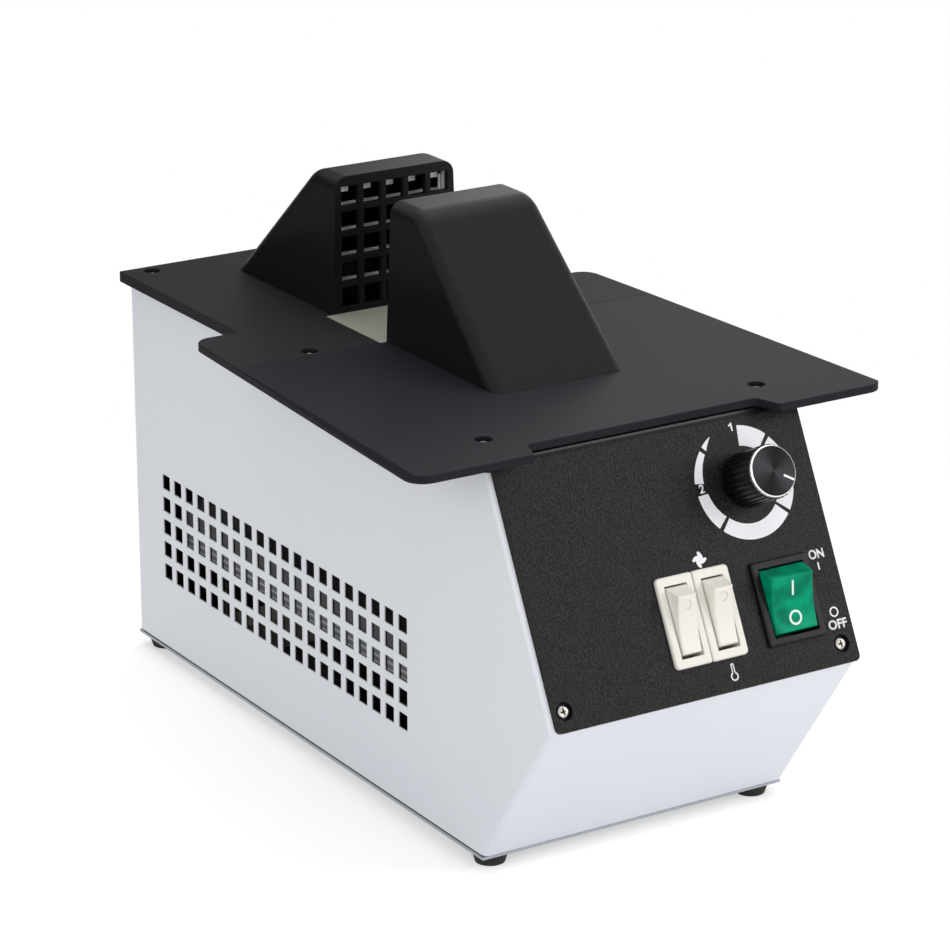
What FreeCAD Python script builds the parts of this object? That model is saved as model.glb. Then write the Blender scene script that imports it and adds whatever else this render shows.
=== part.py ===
"""Eyeglass frame warmer, millimetres.

X runs across the front, +Y runs from the control panel to the back, +Z is up.
The origin is on the counter, under the middle of the machine.
"""
import FreeCAD, Part
import os
import re
import Sketcher

# ---------------------------------------------------------------- driving sizes
SIZES = {
    # housing
    "body_width": 142.4,
    "body_depth": 286.0,
    "body_height": 162.7,
    "front_y": -119.55,
    "nose_reach": 47.5,
    "nose_height": 69.0,
    "sheet": 1.2,
    "bend_radius": 2.5,
    "flange_width": 12.0,
    "fit_gap": 0.3,
    "seam_gap": 0.8,
    # feet
    "foot_height": 5.0,
    "foot_well": 3.0,
    "foot_top_radius": 7.5,
    "foot_tip_radius": 6.0,
    "foot_inset_x": 8.7,
    "foot_inset_y": 8.5,
    # vents in both sides
    "vent_size": 6.7,
    "vent_pitch_y": 10.4,
    "vent_pitch_z": 10.3,
    "vent_columns": 20.0,
    "vent_rows": 5.0,
    "vent_start_run": 59.2,
    "vent_start_rise": 37.4,
    # top plates
    "rear_plate_thickness": 4.5,
    "front_plate_thickness": 3.2,
    "plate_overhang": 4.3,
    "plate_back_overhang": 0.5,
    "wing_back_half": 96.5,
    "wing_front_half": 109.0,
    "joint_run": 137.5,
    "joint_gap": 0.2,
    "gap_depth": 44.0,
    "shelf_overhang": 12.7,
    "plate_corner_radius": 8.0,
    "plate_edge_radius": 0.4,
    "bevel_start": 0.3,
    "bevel_inset": 2.0,
    "bevel_drop": 2.4,
    "notch_half": 56.5,
    "notch_depth": 11.2,
    "notch_slant": 3.7,
    "notch_radius": 2.0,
    # hoods
    "hood_half_width": 30.8,
    "hood_top_half": 28.4,
    "hood_length": 83.0,
    "hood_height": 58.5,
    "hood_crest_depth": 19.5,
    "hood_crest_radius": 15.5,
    "hood_edge_radius": 5.5,
    "hood_wall": 2.0,
    "grille_wall": 2.5,
    "grille_opening": 8.4,
    "grille_bar": 2.4,
    "grille_count": 5.0,
    "grille_base": 2.6,
    "liner_sheet": 0.8,
    "liner_gap": 0.2,
    "boss_x": 15.0,
    "boss_setback": 8.5,
    "boss_radius": 3.0,
    "boss_height": 5.0,
    # cream floor
    "floor_half": 33.5,
    "floor_thickness": 3.0,
    # screws and their holes
    "screw_hole_radius": 3.6,
    "screw_head_radius": 2.5,
    "screw_head_height": 1.6,
    "screw_sink": 1.2,
    "screw_shank_radius": 1.45,
    "screw_shank_length": 7.0,
    "screw_clear": 0.05,
    "cross_width": 0.7,
    "cross_length": 3.2,
    "cross_depth": 0.9,
    "plate_screw_inset": 7.9,
    "rear_screw_run": 280.0,
    "mid_screw_run": 143.3,
    "front_screw_run": 12.3,
    # control panel, measured across and up its own slope
    "panel_thickness": 2.4,
    "panel_edge_inset": 0.9,
    "panel_shift": 1.2,
    "panel_top_gap": 1.2,
    "panel_corner_radius": 2.4,
    "panel_screw_inset": 6.7,
    "panel_screw_rise": 8.0,
    "panel_screw_sink": 1.9,
    # mains rocker switch
    "main_x": 44.5,
    "main_rise": 29.3,
    "main_frame_width": 27.0,
    "main_frame_length": 33.2,
    "main_rocker_width": 20.6,
    "main_rocker_length": 26.8,
    # pair of narrow rocker switches
    "small_x": 4.0,
    "small_rise": 30.5,
    "small_frame_width": 16.6,
    "small_frame_length": 35.6,
    "small_gap": 0.3,
    "small_rocker_width": 9.6,
    "small_rocker_length": 27.6,
    # what the switches share
    "frame_proud": 1.8,
    "switch_wall": 1.2,
    "switch_depth": 19.0,
    "rocker_gap": 0.35,
    "rocker_tilt": 15.0,
    "rocker_under": 3.0,
    "rocker_rise": 2.5,
    "rocker_dish_radius": 43.0,
    "rocker_edge": 0.8,
    "rocker_end_draft": 20.0,
    "rocker_side_draft": 4.5,
    "dimple_radius": 1.8,
    "dimple_reach": 7.6,
    "dimple_depth": 0.35,
    "pivot_depth": 3.5,
    "frame_radius": 0.8,
    "frame_corner": 1.0,
    "pair_corner": 1.9,
    "blade_width": 6.3,
    "blade_sheet": 0.8,
    "blade_length": 8.0,
    "rocker_pin_radius": 1.0,
    "rocker_pin_reach": 0.95,
    "pin_clear": 0.05,
    # knob and potentiometer
    "knob_x": 39.1,
    "knob_drop": 27.15,
    "knob_radius": 10.8,
    "knob_height": 20.0,
    "knob_lift": 1.0,
    "knob_bore_depth": 15.0,
    "knob_recess": 3.0,
    "nut_clear": 1.0,
    "cap_thickness": 1.6,
    "cap_chamfer": 0.5,
    "pointer_start": 4.6,
    "pointer_margin": 0.2,
    "pointer_width": 0.9,
    "pointer_depth": 0.4,
    "pointer_angle": 31.0,
    "nut_radius": 6.0,
    "nut_thickness": 2.0,
    "flutes": 30.0,
    "flute_radius": 0.6,
    "shaft_radius": 3.0,
    "bush_radius": 4.6,
    "pot_radius": 12.0,
    "pot_depth": 11.0,
    # blower
    "blower_run": 158.0,
    "scroll_radius": 30.0,
    "scroll_width": 44.0,
    "scroll_wall": 1.0,
    "scroll_lift": 3.0,
    "scroll_headroom": 2.0,
    "saddle_half": 16.0,
    "saddle_width": 36.0,
    "saddle_bite": 6.0,
    "outlet_depth": 30.0,
    "inlet_radius": 19.0,
    "impeller_radius": 24.5,
    "impeller_width": 34.0,
    "blade_depth": 6.0,
    "blade_tip": 0.1,
    "hub_length": 24.0,
    "axle_end": 2.0,
    "blade_thickness": 0.7,
    "blades": 24.0,
    "hub_radius": 5.0,
    "motor_radius": 18.0,
    "motor_length": 30.0,
    "axle_radius": 2.0,
    "bearing_radius": 5.0,
    "bearing_length": 5.0,
    # air duct and heaters
    "plenum_half_width": 28.0,
    "plenum_height": 34.0,
    "duct_sheet": 0.8,
    "stack_half_width": 25.0,
    "stack_depth": 62.0,
    "stack_setback": 5.0,
    "shield_half_width": 62.0,
    "shield_flange": 20.0,
    "shield_overhang": 10.0,
    "post_radius": 3.0,
    "post_x": 50.0,
    "board_thickness": 1.0,
    "board_height": 30.0,
    "board_lift": 10.0,
    "coil_radius": 3.0,
    "coil_wire": 0.8,
    "coils": 4.0,
    # rear fittings
    "back_screw_rise": 24.0,
    "back_screw_drop": 12.0,
    "inlet_x": 30.0,
    "inlet_z": 34.0,
    "inlet_width": 27.0,
    "inlet_height": 20.0,
    "inlet_depth": 22.0,
    "inlet_flange_width": 49.0,
    "inlet_flange_thickness": 2.5,
    "inlet_screw_reach": 20.0,
    "inlet_wall": 2.5,
    "pin_pitch": 7.0,
    "pin_rise": 2.0,
    "pin_width": 2.0,
    "pin_length": 11.0,
    "cutout_radius": 8.0,
    "cutout_height": 6.0,
    "slot_half": 40.0,
    "slot_width": 3.0,
    "slot_low": 70.0,
    "slot_pitch": 10.0,
    "slots": 7.0,
    "block_inset": 2.0,
    "block_setback": 36.0,
    "block_length": 44.0,
    "block_width": 18.0,
    "block_height": 14.0,
}

doc = FreeCAD.newDocument("FrameWarmer")
sheet = doc.addObject("Spreadsheet::Sheet", "Sizes")
for row, (alias, size) in enumerate(SIZES.items(), start=1):
    sheet.set(f"A{row}", alias)
    sheet.set(f"B{row}", str(size))
    sheet.setAlias(f"B{row}", alias)
doc.recompute()

NODES = []
LABELS = {}


# ---------------------------------------------------------------- expressions
def expression(text):
    """Point every size name in the text at its cell in the sheet."""
    def cell(match):
        word = match.group()
        return f"Sizes.{word}" if word in SIZES else word
    return re.sub(r"[A-Za-z_][A-Za-z_0-9]*", cell, str(text))


def value(text):
    """The number that an expression stands for now."""
    result = sheet.evalExpression(expression(text))
    return float(getattr(result, "Value", result))


def bind(item, **sizes):
    """Bind properties of a document object to expressions."""
    for name, text in sizes.items():
        item.setExpression(name, expression(text))


def place(item, x="0", y="0", z="0", axis=None, angle="0"):
    """Place an object by expressions, turned about one axis."""
    if axis is not None:
        turn = FreeCAD.Rotation(FreeCAD.Vector(*axis), value(angle))
        item.Placement = FreeCAD.Placement(FreeCAD.Vector(), turn)
        item.setExpression(".Placement.Rotation.Angle", expression(angle))
    for letter, text in (("x", x), ("y", y), ("z", z)):
        item.setExpression(f".Placement.Base.{letter}", expression(text))


def label(item, name):
    """Give a finished sub-part the name of its node."""
    item.Label = name
    NODES.append(item)
    return item


def unique(name):
    """An internal object name that has not been used yet."""
    LABELS[name] = LABELS.get(name, 0) + 1
    return f"{name}_{LABELS[name]}"


# ---------------------------------------------------------------- part primitives
def box(x, y, z):
    """A box between pairs of expressions."""
    item = doc.addObject("Part::Box", unique("box"))
    bind(item, Length=f"({x[1]}) - ({x[0]})", Width=f"({y[1]}) - ({y[0]})",
         Height=f"({z[1]}) - ({z[0]})")
    place(item, x[0], y[0], z[0])
    return item


AXES = {"x": ((0, 1, 0), "90"), "y": ((-1, 0, 0), "90"), "z": (None, "0")}


def cylinder(axis, at, radius, length):
    """A cylinder that starts at a point and runs along +X, +Y or +Z."""
    item = doc.addObject("Part::Cylinder", unique("cylinder"))
    bind(item, Radius=radius, Height=length)
    turn, angle = AXES[axis]
    place(item, *at, axis=turn, angle=angle)
    return item


def cone(at, radius_low, radius_high, length):
    """A cone frustum that stands on a point."""
    item = doc.addObject("Part::Cone", unique("cone"))
    bind(item, Radius1=radius_low, Radius2=radius_high, Height=length)
    place(item, *at)
    return item


def fuse(*items):
    """Join solids that touch."""
    if len(items) == 1:
        return items[0]
    item = doc.addObject("Part::MultiFuse", unique("fuse"))
    item.Shapes = list(items)
    item.Refine = True
    return item


def cut(base, *tools):
    """Take tools away from a base."""
    item = doc.addObject("Part::Cut", unique("cut"))
    item.Base = base
    item.Tool = fuse(*tools)
    item.Refine = True
    return item


def group(items):
    """Separate solids that share one node."""
    item = doc.addObject("Part::Compound", unique("group"))
    item.Links = list(items)
    return item


# ---------------------------------------------------------------- part design
def new_body(name):
    """An empty body that becomes the node of that name."""
    return label(doc.addObject("PartDesign::Body", unique(name)), name)


def outline(body, role, loops):
    """A sketch of closed loops whose every corner is bound to expressions."""
    sketch = body.newObject("Sketcher::SketchObject", unique("sketch"))
    origin_plane = [item for item in body.Origin.OriginFeatures if item.Role == role][0]
    sketch.AttachmentSupport = [(origin_plane, "")]
    sketch.MapMode = "FlatFace"
    for corners in loops:
        points = [FreeCAD.Vector(value(x), value(y), 0) for x, y in corners]
        first = sketch.GeometryCount
        count = len(points)
        for index in range(count):
            sketch.addGeometry(Part.LineSegment(points[index], points[(index + 1) % count]), False)
        for index in range(count):
            following = first + (index + 1) % count
            sketch.addConstraint(Sketcher.Constraint("Coincident", first + index, 2, following, 1))
        for index, corner in enumerate(corners):
            for kind, text in zip(("DistanceX", "DistanceY"), corner):
                size = Sketcher.Constraint(kind, -1, 1, first + index, 1, value(text))
                number = sketch.addConstraint(size)
                sketch.setExpression(f"Constraints[{number}]", expression(text))
    return sketch


def rectangle(x, y):
    """The corners of a rectangle between pairs of expressions."""
    return [(x[0], y[0]), (x[1], y[0]), (x[1], y[1]), (x[0], y[1])]


def circle(body, role, centres, radius):
    """A sketch of equal circles bound to expressions."""
    sketch = outline(body, role, [])
    for x, y in centres:
        middle = FreeCAD.Vector(value(x), value(y), 0)
        normal = FreeCAD.Vector(0, 0, 1)
        index = sketch.addGeometry(Part.Circle(middle, normal, value(radius)), False)
        for kind, text in (("DistanceX", x), ("DistanceY", y)):
            number = sketch.addConstraint(Sketcher.Constraint(kind, -1, 1, index, 3, value(text)))
            sketch.setExpression(f"Constraints[{number}]", expression(text))
        number = sketch.addConstraint(Sketcher.Constraint("Radius", index, value(radius)))
        sketch.setExpression(f"Constraints[{number}]", expression(radius))
    return sketch


def extrude(body, kind, sketch, length, start="0", both=False, back=False):
    """Pad or pocket a sketch, lifted off its plane by start."""
    if start != "0":
        sketch.setExpression(".AttachmentOffset.Base.z", expression(start))
    feature = body.newObject(f"PartDesign::{kind}", unique(kind.lower()))
    feature.Profile = sketch
    feature.SideType = "Symmetric" if both else "One side"
    feature.Reversed = back
    bind(feature, Length=length)
    doc.recompute()
    return feature


def pad(body, sketch, length, **how):
    """Add a sketch's prism."""
    return extrude(body, "Pad", sketch, length, **how)


def pocket(body, sketch, length, **how):
    """Cut a sketch's prism, and make sure that it met the solid."""
    before = body.Shape.Volume
    feature = extrude(body, "Pocket", sketch, length, **how)
    if body.Shape.Volume > before - 1e-6:
        raise RuntimeError(f"{feature.Name} in {body.Label} cuts nothing")
    return feature


def round_edges(body, radius, chosen):
    """Round the edges of the body's tip that the test picks."""
    tip = body.Tip
    names = [f"Edge{number}" for number, edge in enumerate(tip.Shape.Edges, start=1) if chosen(edge)]
    feature = body.newObject("PartDesign::Fillet", unique("round"))
    feature.Base = (tip, names)
    bind(feature, Radius=radius)
    doc.recompute()
    return feature


def repeat_grid(body, hole, stem, first, second):
    """Repeat a pocket in rows and columns; each run is (axis role, pitch, count)."""
    pattern = body.newObject("PartDesign::LinearPattern", unique(stem))
    pattern.Originals = [hole]
    axes = {item.Role: item for item in body.Origin.OriginFeatures}
    pattern.Direction = (axes[first[0]], [""])
    pattern.Direction2 = (axes[second[0]], [""])
    pattern.Mode = pattern.Mode2 = "Extent"
    bind(pattern, Length=f"({first[2]} - 1) * {first[1]}", Occurrences=first[2],
         Length2=f"({second[2]} - 1) * {second[1]}", Occurrences2=second[2])
    body.Tip = pattern


def direction(edge):
    """Unit direction of a straight edge, or None."""
    if edge.Curve.TypeId != "Part::GeomLine":
        return None
    ends = edge.Vertexes
    return (ends[-1].Point - ends[0].Point).normalize()


def upright(edge):
    """True for a straight edge along Z."""
    along = direction(edge)
    return along is not None and abs(along.z) > 0.999


# ---------------------------------------------------------------- shared places
BASE_TOP = "(foot_height + sheet)"
WALL_LOW = "(foot_height + sheet + seam_gap)"
DECK = "(foot_height + body_height)"
TOP = f"({DECK} + rear_plate_thickness)"
FRONT_LOW = f"({TOP} - front_plate_thickness)"
BACK = "(front_y + body_depth)"
HALF = "(body_width / 2)"
INNER = "(body_width / 2 - sheet)"
NOSE_Y = "(front_y - nose_reach)"
NOSE_Z = "(foot_height + nose_height)"
JOINT_Y = "(front_y + joint_run)"
GAP_BACK = "(front_y + joint_run + gap_depth)"
SHELF_FRONT = "(front_y - shelf_overhang)"
SLOPE_ANGLE = "atan2(body_height - nose_height; nose_reach)"
SLOPE_LENGTH = "hypot(nose_reach; body_height - nose_height)"
KNOB_RISE = f"({SLOPE_LENGTH} - knob_drop)"
PANEL_SCREW_X = f"({HALF} - panel_screw_inset)"
PLATE_SCREW_X = f"({HALF} - plate_screw_inset)"
FRONT_MOUTH = (f"({JOINT_Y} - stack_setback - stack_depth)", f"({JOINT_Y} - stack_setback)")
REAR_MOUTH = (f"({GAP_BACK} + stack_setback)", f"({GAP_BACK} + stack_setback + stack_depth)")
MOUTH_X = ("-stack_half_width - fit_gap", "stack_half_width + fit_gap")
BLOWER_Y = "(front_y + blower_run)"
BLOWER_Z = f"({BASE_TOP} + scroll_lift + scroll_radius)"
SHIELD_LOW = f"({BLOWER_Z} + scroll_radius + scroll_headroom)"
SHIELD_TOP = f"({SHIELD_LOW} + sheet)"
PLENUM_TOP = f"({SHIELD_TOP} + plenum_height)"
SWITCH_TOP = "(panel_thickness + frame_proud)"


def both(text):
    """The same half width either side of the middle."""
    return (f"-({text})", f"{text}")


def grown(span, margin):
    """A span that reaches further by a margin at both ends."""
    return (f"{span[0]} - ({margin})", f"{span[1]} + ({margin})")


def on_slope(across="0", rise="0", out="0"):
    """Place of a point measured across, up and out from the panel's slope."""
    lift_y = f"({rise}) * cos({SLOPE_ANGLE}) - ({out}) * sin({SLOPE_ANGLE})"
    lift_z = f"({rise}) * sin({SLOPE_ANGLE}) + ({out}) * cos({SLOPE_ANGLE})"
    return (across, f"{NOSE_Y} + {lift_y}", f"{NOSE_Z} + {lift_z}")


def tilt(sketch, angle, y, z):
    """Lay a sketch of the XY plane on a slope that rises along Y from a given line."""
    turn = FreeCAD.Rotation(FreeCAD.Vector(1, 0, 0), value(angle))
    sketch.AttachmentOffset = FreeCAD.Placement(FreeCAD.Vector(), turn)
    sketch.setExpression(".AttachmentOffset.Rotation.Angle", expression(angle))
    sketch.setExpression(".AttachmentOffset.Base.y", expression(y))
    sketch.setExpression(".AttachmentOffset.Base.z", expression(z))
    return sketch


def screw(at, axis=(1, 0, 0), angle="0"):
    """A cross pan-head screw; its head's top is at the given point, facing local +Z."""
    head = cylinder("z", ("0", "0", "-screw_head_height"), "screw_head_radius", "screw_head_height")
    shank = cylinder("z", ("0", "0", "-screw_head_height - screw_shank_length"),
                     "screw_shank_radius", "screw_shank_length")
    recess = ("-cross_depth", "1")
    long_slot = box(both("cross_length / 2"), both("cross_width / 2"), recess)
    wide_slot = box(both("cross_width / 2"), both("cross_length / 2"), recess)
    item = cut(fuse(head, shank), long_slot, wide_slot)
    place(item, *at, axis=axis, angle=angle)
    return item


def screws(name, places, **turned):
    """One node of equal screws."""
    return label(group([screw(at, **turned) for at in places]), name)


def paired(x, y):
    """A point and its mirror image across the middle."""
    return [(x, y), (f"-({x})", y)]


FOOT_PLACES = (paired(f"{HALF} - foot_inset_x", "front_y + foot_inset_y")
               + paired(f"{HALF} - foot_inset_x", f"{BACK} - foot_inset_y"))
FRONT_SCREWS = paired(PLATE_SCREW_X, "front_y + front_screw_run")
REAR_SCREWS = (paired(PLATE_SCREW_X, "front_y + mid_screw_run")
               + paired(PLATE_SCREW_X, "front_y + rear_screw_run"))
PANEL_SCREWS = paired(PANEL_SCREW_X, "panel_screw_rise")
BACK_SCREWS = (paired(f"{INNER} - flange_width / 2", f"{WALL_LOW} + back_screw_rise")
               + paired(f"{INNER} - flange_width / 2", f"{DECK} - back_screw_drop"))


# ---------------------------------------------------------------- housing
def front_line(z, shift):
    """Y of the lower front face at a height, moved inwards by its own sheet."""
    slant = "hypot(nose_reach; nose_height) / nose_height"
    return f"front_y - nose_reach * ({z} - foot_height) / nose_height + {shift} * {slant}"


def slope_line(z, shift):
    """Y of the upper sloping face at a height, moved inwards by its own sheet."""
    run = "(body_height - nose_height)"
    slant = f"hypot(nose_reach; {run}) / {run}"
    return f"{NOSE_Y} + nose_reach * ({z} - {NOSE_Z}) / {run} + {shift} * {slant}"


def side_profile(shift, low, high, rear):
    """Side outline of the housing; shift moves the two front faces inwards."""
    run = "(body_height - nose_height)"
    slant_low = "hypot(nose_reach; nose_height) / nose_height"
    slant_high = f"hypot(nose_reach; {run}) / {run}"
    fold_rise = (f"{shift} * ({slant_low} - {slant_high})"
                 f" / (nose_reach / nose_height + nose_reach / {run})")
    fold_z = f"({NOSE_Z} + {fold_rise})"
    return [(front_line(low, shift), low), (front_line(fold_z, shift), fold_z),
            (slope_line(high, shift), high), (rear, high), (rear, low)]


def bend(edge):
    """True for the folds between the sides and the front, the nose and the back corners."""
    along = direction(edge)
    if along is None:
        return False
    middle = edge.CenterOfMass
    at_side = abs(abs(middle.x) - value(HALF)) < 0.01
    if abs(along.x) > 0.99:
        return middle.y < value(NOSE_Y) + 0.01
    return at_side and abs(along.z) > 0.5


def switch_hole(margin, across, rise, rocker_width, rocker_length):
    """Cut-out that a switch's barrel drops into."""
    half_width = f"({rocker_width} / 2 + rocker_gap + switch_wall + {margin})"
    half_length = f"({rocker_length} / 2 + rocker_gap + switch_wall + {margin})"
    return rectangle((f"{across} - {half_width}", f"{across} + {half_width}"),
                     (f"{rise} - {half_length}", f"{rise} + {half_length}"))


SMALL_SHIFT = "(small_frame_width + small_gap) / 2"
SMALL_SIZES = ("small_rise", "small_frame_width", "small_frame_length",
               "small_rocker_width", "small_rocker_length")
SWITCHES = {
    "main": ("main_x", "main_rise", "main_frame_width", "main_frame_length",
             "main_rocker_width", "main_rocker_length"),
    "heat": (f"(small_x - {SMALL_SHIFT})", *SMALL_SIZES),
    "air": (f"(small_x + {SMALL_SHIFT})", *SMALL_SIZES),
}
FRAME_CORNERS = {
    "main": ("frame_corner", "frame_corner"),
    "heat": ("pair_corner", "frame_corner"),
    "air": ("frame_corner", "pair_corner"),
}


def control_holes(body, tilted):
    """Sketches of the switch cut-outs, the bush hole and the screw holes."""
    holes = outline(body, "XY_Plane", [switch_hole("fit_gap", across, rise, width, length)
                                       for across, rise, _, _, width, length in SWITCHES.values()])
    bush = circle(body, "XY_Plane", [("knob_x", KNOB_RISE)], "bush_radius + screw_clear")
    shanks = circle(body, "XY_Plane", PANEL_SCREWS, "screw_shank_radius + screw_clear")
    if tilted:
        for sketch in (holes, bush, shanks):
            tilt(sketch, SLOPE_ANGLE, NOSE_Y, NOSE_Z)
    return holes, bush, shanks


def make_housing():
    """Folded sheet: two vented sides, beak-shaped front and flanges."""
    body = new_body("housing")
    profile = side_profile("0", WALL_LOW, DECK, BACK)
    pad(body, outline(body, "YZ_Plane", [profile]), "body_width", both=True)
    round_edges(body, "bend_radius", bend)
    hollow = side_profile("sheet", f"({WALL_LOW} - 1)", f"({DECK} + 1)", f"({BACK} - sheet)")
    pocket(body, outline(body, "YZ_Plane", [hollow]), "body_width - 2 * sheet", both=True)
    window = outline(body, "XZ_Plane", [rectangle(both(f"{INNER} - flange_width"),
                                                  (f"{WALL_LOW} + flange_width", f"{DECK} + 1"))])
    pocket(body, window, "3 * sheet", start=f"-{BACK}", both=True)
    side_run = ("front_y + sheet * 2", f"{BACK} - sheet / 2")
    root = f"{INNER} + sheet / 2"
    strips = [rectangle((f"{INNER} - flange_width", root), side_run),
              rectangle((f"-({root})", f"flange_width - {INNER}"), side_run)]
    pad(body, outline(body, "XY_Plane", strips), "sheet", start=f"{DECK} - sheet")
    pad(body, outline(body, "XY_Plane", strips), "sheet", start=BASE_TOP)
    anchors = circle(body, "XY_Plane", FRONT_SCREWS + REAR_SCREWS + FOOT_PLACES,
                     "screw_shank_radius + screw_clear")
    pocket(body, anchors, "body_height * 4", both=True)
    back_anchors = circle(body, "XZ_Plane", BACK_SCREWS, "screw_shank_radius + screw_clear")
    pocket(body, back_anchors, "3 * sheet", start=f"-{BACK}", both=True)
    for sketch in control_holes(body, True):
        pocket(body, sketch, "4 * sheet", both=True)
    first_y = "front_y + vent_start_run"
    first_z = "foot_height + vent_start_rise"
    vent = outline(body, "YZ_Plane", [rectangle(grown((first_y, first_y), "vent_size / 2"),
                                                grown((first_z, first_z), "vent_size / 2"))])
    hole = pocket(body, vent, "body_width + 2", both=True)
    repeat_grid(body, hole, "vents", ("Y_Axis", "vent_pitch_y", "vent_columns"),
                ("Z_Axis", "vent_pitch_z", "vent_rows"))
    doc.recompute()


def make_base_pan():
    """Flat pan with an upstand at the back."""
    plate = box(both(HALF), ("front_y", BACK), ("foot_height", BASE_TOP))
    upstand = box(both(f"{INNER} - flange_width - fit_gap"), (f"{BACK} - 3 * sheet", f"{BACK} - 2 * sheet"),
                  ("foot_height", f"{BASE_TOP} + flange_width"))
    holes = [cylinder("z", (x, y, "foot_height - 1"), "screw_shank_radius + screw_clear", "sheet + 2")
             for x, y in FOOT_PLACES]
    label(cut(fuse(plate, upstand), *holes), "base_pan")


def make_feet():
    """Tapered rubber feet and the screws through them."""
    feet = []
    for x, y in FOOT_PLACES:
        rubber = cone((x, y, "0"), "foot_tip_radius", "foot_top_radius", "foot_height")
        well = cylinder("z", (x, y, "-1"), "screw_hole_radius", "1 + foot_well")
        shaft = cylinder("z", (x, y, "0"), "screw_shank_radius + screw_clear", "foot_height + 1")
        feet.append(cut(rubber, well, shaft))
    label(group(feet), "foot")
    screws("foot_screw", [(x, y, "foot_well - screw_head_height") for x, y in FOOT_PLACES],
           angle="180")


def make_back_panel():
    """Flat rear cover inside the return flanges, with cooling slots and the inlet's cut-out."""
    body = new_body("back_panel")
    plane_y = f"-({BACK} - sheet)"
    sheet_outline = rectangle(both(f"{INNER} - fit_gap"), (f"{BASE_TOP} + sheet + fit_gap",
                                                        f"{DECK} - sheet - fit_gap"))
    pad(body, outline(body, "XZ_Plane", [sheet_outline]), "sheet", start=plane_y)
    inlet = rectangle(grown(("inlet_x", "inlet_x"), "inlet_width / 2 + fit_gap"),
                      grown(("inlet_z", "inlet_z"), "inlet_height / 2 + fit_gap"))
    pocket(body, outline(body, "XZ_Plane", [inlet]), "4 * sheet", start=plane_y, both=True)
    anchors = BACK_SCREWS + [(f"inlet_x {sign} inlet_screw_reach", "inlet_z") for sign in "+-"]
    pocket(body, circle(body, "XZ_Plane", anchors, "screw_shank_radius + screw_clear"),
           "4 * sheet", start=plane_y, both=True)
    slot = rectangle(("-slot_half", "slot_half"), grown(("slot_low", "slot_low"), "slot_width / 2"))
    hole = pocket(body, outline(body, "XZ_Plane", [slot]), "4 * sheet", start=plane_y, both=True)
    pattern = body.newObject("PartDesign::LinearPattern", unique("slots"))
    pattern.Originals = [hole]
    pattern.Direction = ([item for item in body.Origin.OriginFeatures if item.Role == "Z_Axis"][0], [""])
    pattern.Mode = "Spacing"
    bind(pattern, Offset="slot_pitch", Occurrences="slots")
    body.Tip = pattern
    doc.recompute()
    screws("back_screw", [(x, f"{BACK} + screw_head_height", z) for x, z in BACK_SCREWS],
           axis=(-1, 0, 0), angle="90")


# ---------------------------------------------------------------- top plates
WING_RATE = f"((wing_front_half - wing_back_half) / ({GAP_BACK} - {SHELF_FRONT}))"


def wing_half(y):
    """Half width of the tapering top at a place along Y."""
    return f"(wing_back_half + {WING_RATE} * ({GAP_BACK} - ({y})))"


def screw_wells(body, places):
    """Wells for sunk heads and holes for their shanks, from the top."""
    wells = circle(body, "XY_Plane", places, "screw_hole_radius")
    pocket(body, wells, "screw_sink + screw_head_height", start=TOP)
    shanks = circle(body, "XY_Plane", places, "screw_shank_radius + screw_clear")
    pocket(body, shanks, "rear_plate_thickness * 3", start=TOP, both=True)


def plate_screws(name, places):
    """Sunk screws of a top plate."""
    screws(name, [(x, y, f"{TOP} - screw_sink") for x, y in places])


def corner_at(half, y):
    """Test for the upright edges at both ends of a width."""
    def chosen(edge):
        middle = edge.CenterOfMass
        return upright(edge) and abs(middle.y - value(y)) < 0.01 and abs(abs(middle.x) - value(half)) < 0.01
    return chosen


def top_rim(edge):
    """True for the outer edges of the upper face."""
    middle = edge.CenterOfMass
    return abs(middle.z - value(TOP)) < 0.01 and abs(middle.x) > value(HALF)


def make_rear_plate():
    """Rear top plate: narrow over the housing, with wings beside the gap."""
    body = new_body("rear_plate")
    seam = f"({JOINT_Y} + joint_gap)"
    narrow = f"({HALF} + plate_overhang)"
    rear = f"({BACK} + plate_back_overhang)"
    half_outline = [(wing_half(seam), seam), ("wing_back_half", GAP_BACK),
                    (narrow, GAP_BACK), (narrow, rear)]
    mirrored = [(f"-{x}", y) for x, y in reversed(half_outline)]
    pad(body, outline(body, "XY_Plane", [half_outline + mirrored]), "front_plate_thickness",
        start=FRONT_LOW)
    round_edges(body, "plate_corner_radius", corner_at("wing_back_half", GAP_BACK))
    lower = rectangle(both(narrow), (seam, rear))
    pad(body, outline(body, "XY_Plane", [lower]), "rear_plate_thickness - front_plate_thickness",
        start=DECK)
    mouth = rectangle(MOUTH_X, grown(REAR_MOUTH, "fit_gap"))
    pocket(body, outline(body, "XY_Plane", [mouth]), "rear_plate_thickness * 3", start=TOP, both=True)
    floor_bed = rectangle(both("floor_half + fit_gap"), (f"{seam} - 1", f"{GAP_BACK} + fit_gap"))
    pocket(body, outline(body, "XY_Plane", [floor_bed]), "floor_thickness", start=TOP)
    screw_wells(body, REAR_SCREWS)
    screw_sites = hood_screw_places(GAP_BACK, 1)
    shanks = circle(body, "XY_Plane", screw_sites, "screw_shank_radius + screw_clear")
    pocket(body, shanks, "rear_plate_thickness * 3", start=TOP, both=True)
    round_edges(body, "plate_edge_radius", top_rim)
    plate_screws("rear_plate_screw", REAR_SCREWS)


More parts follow.
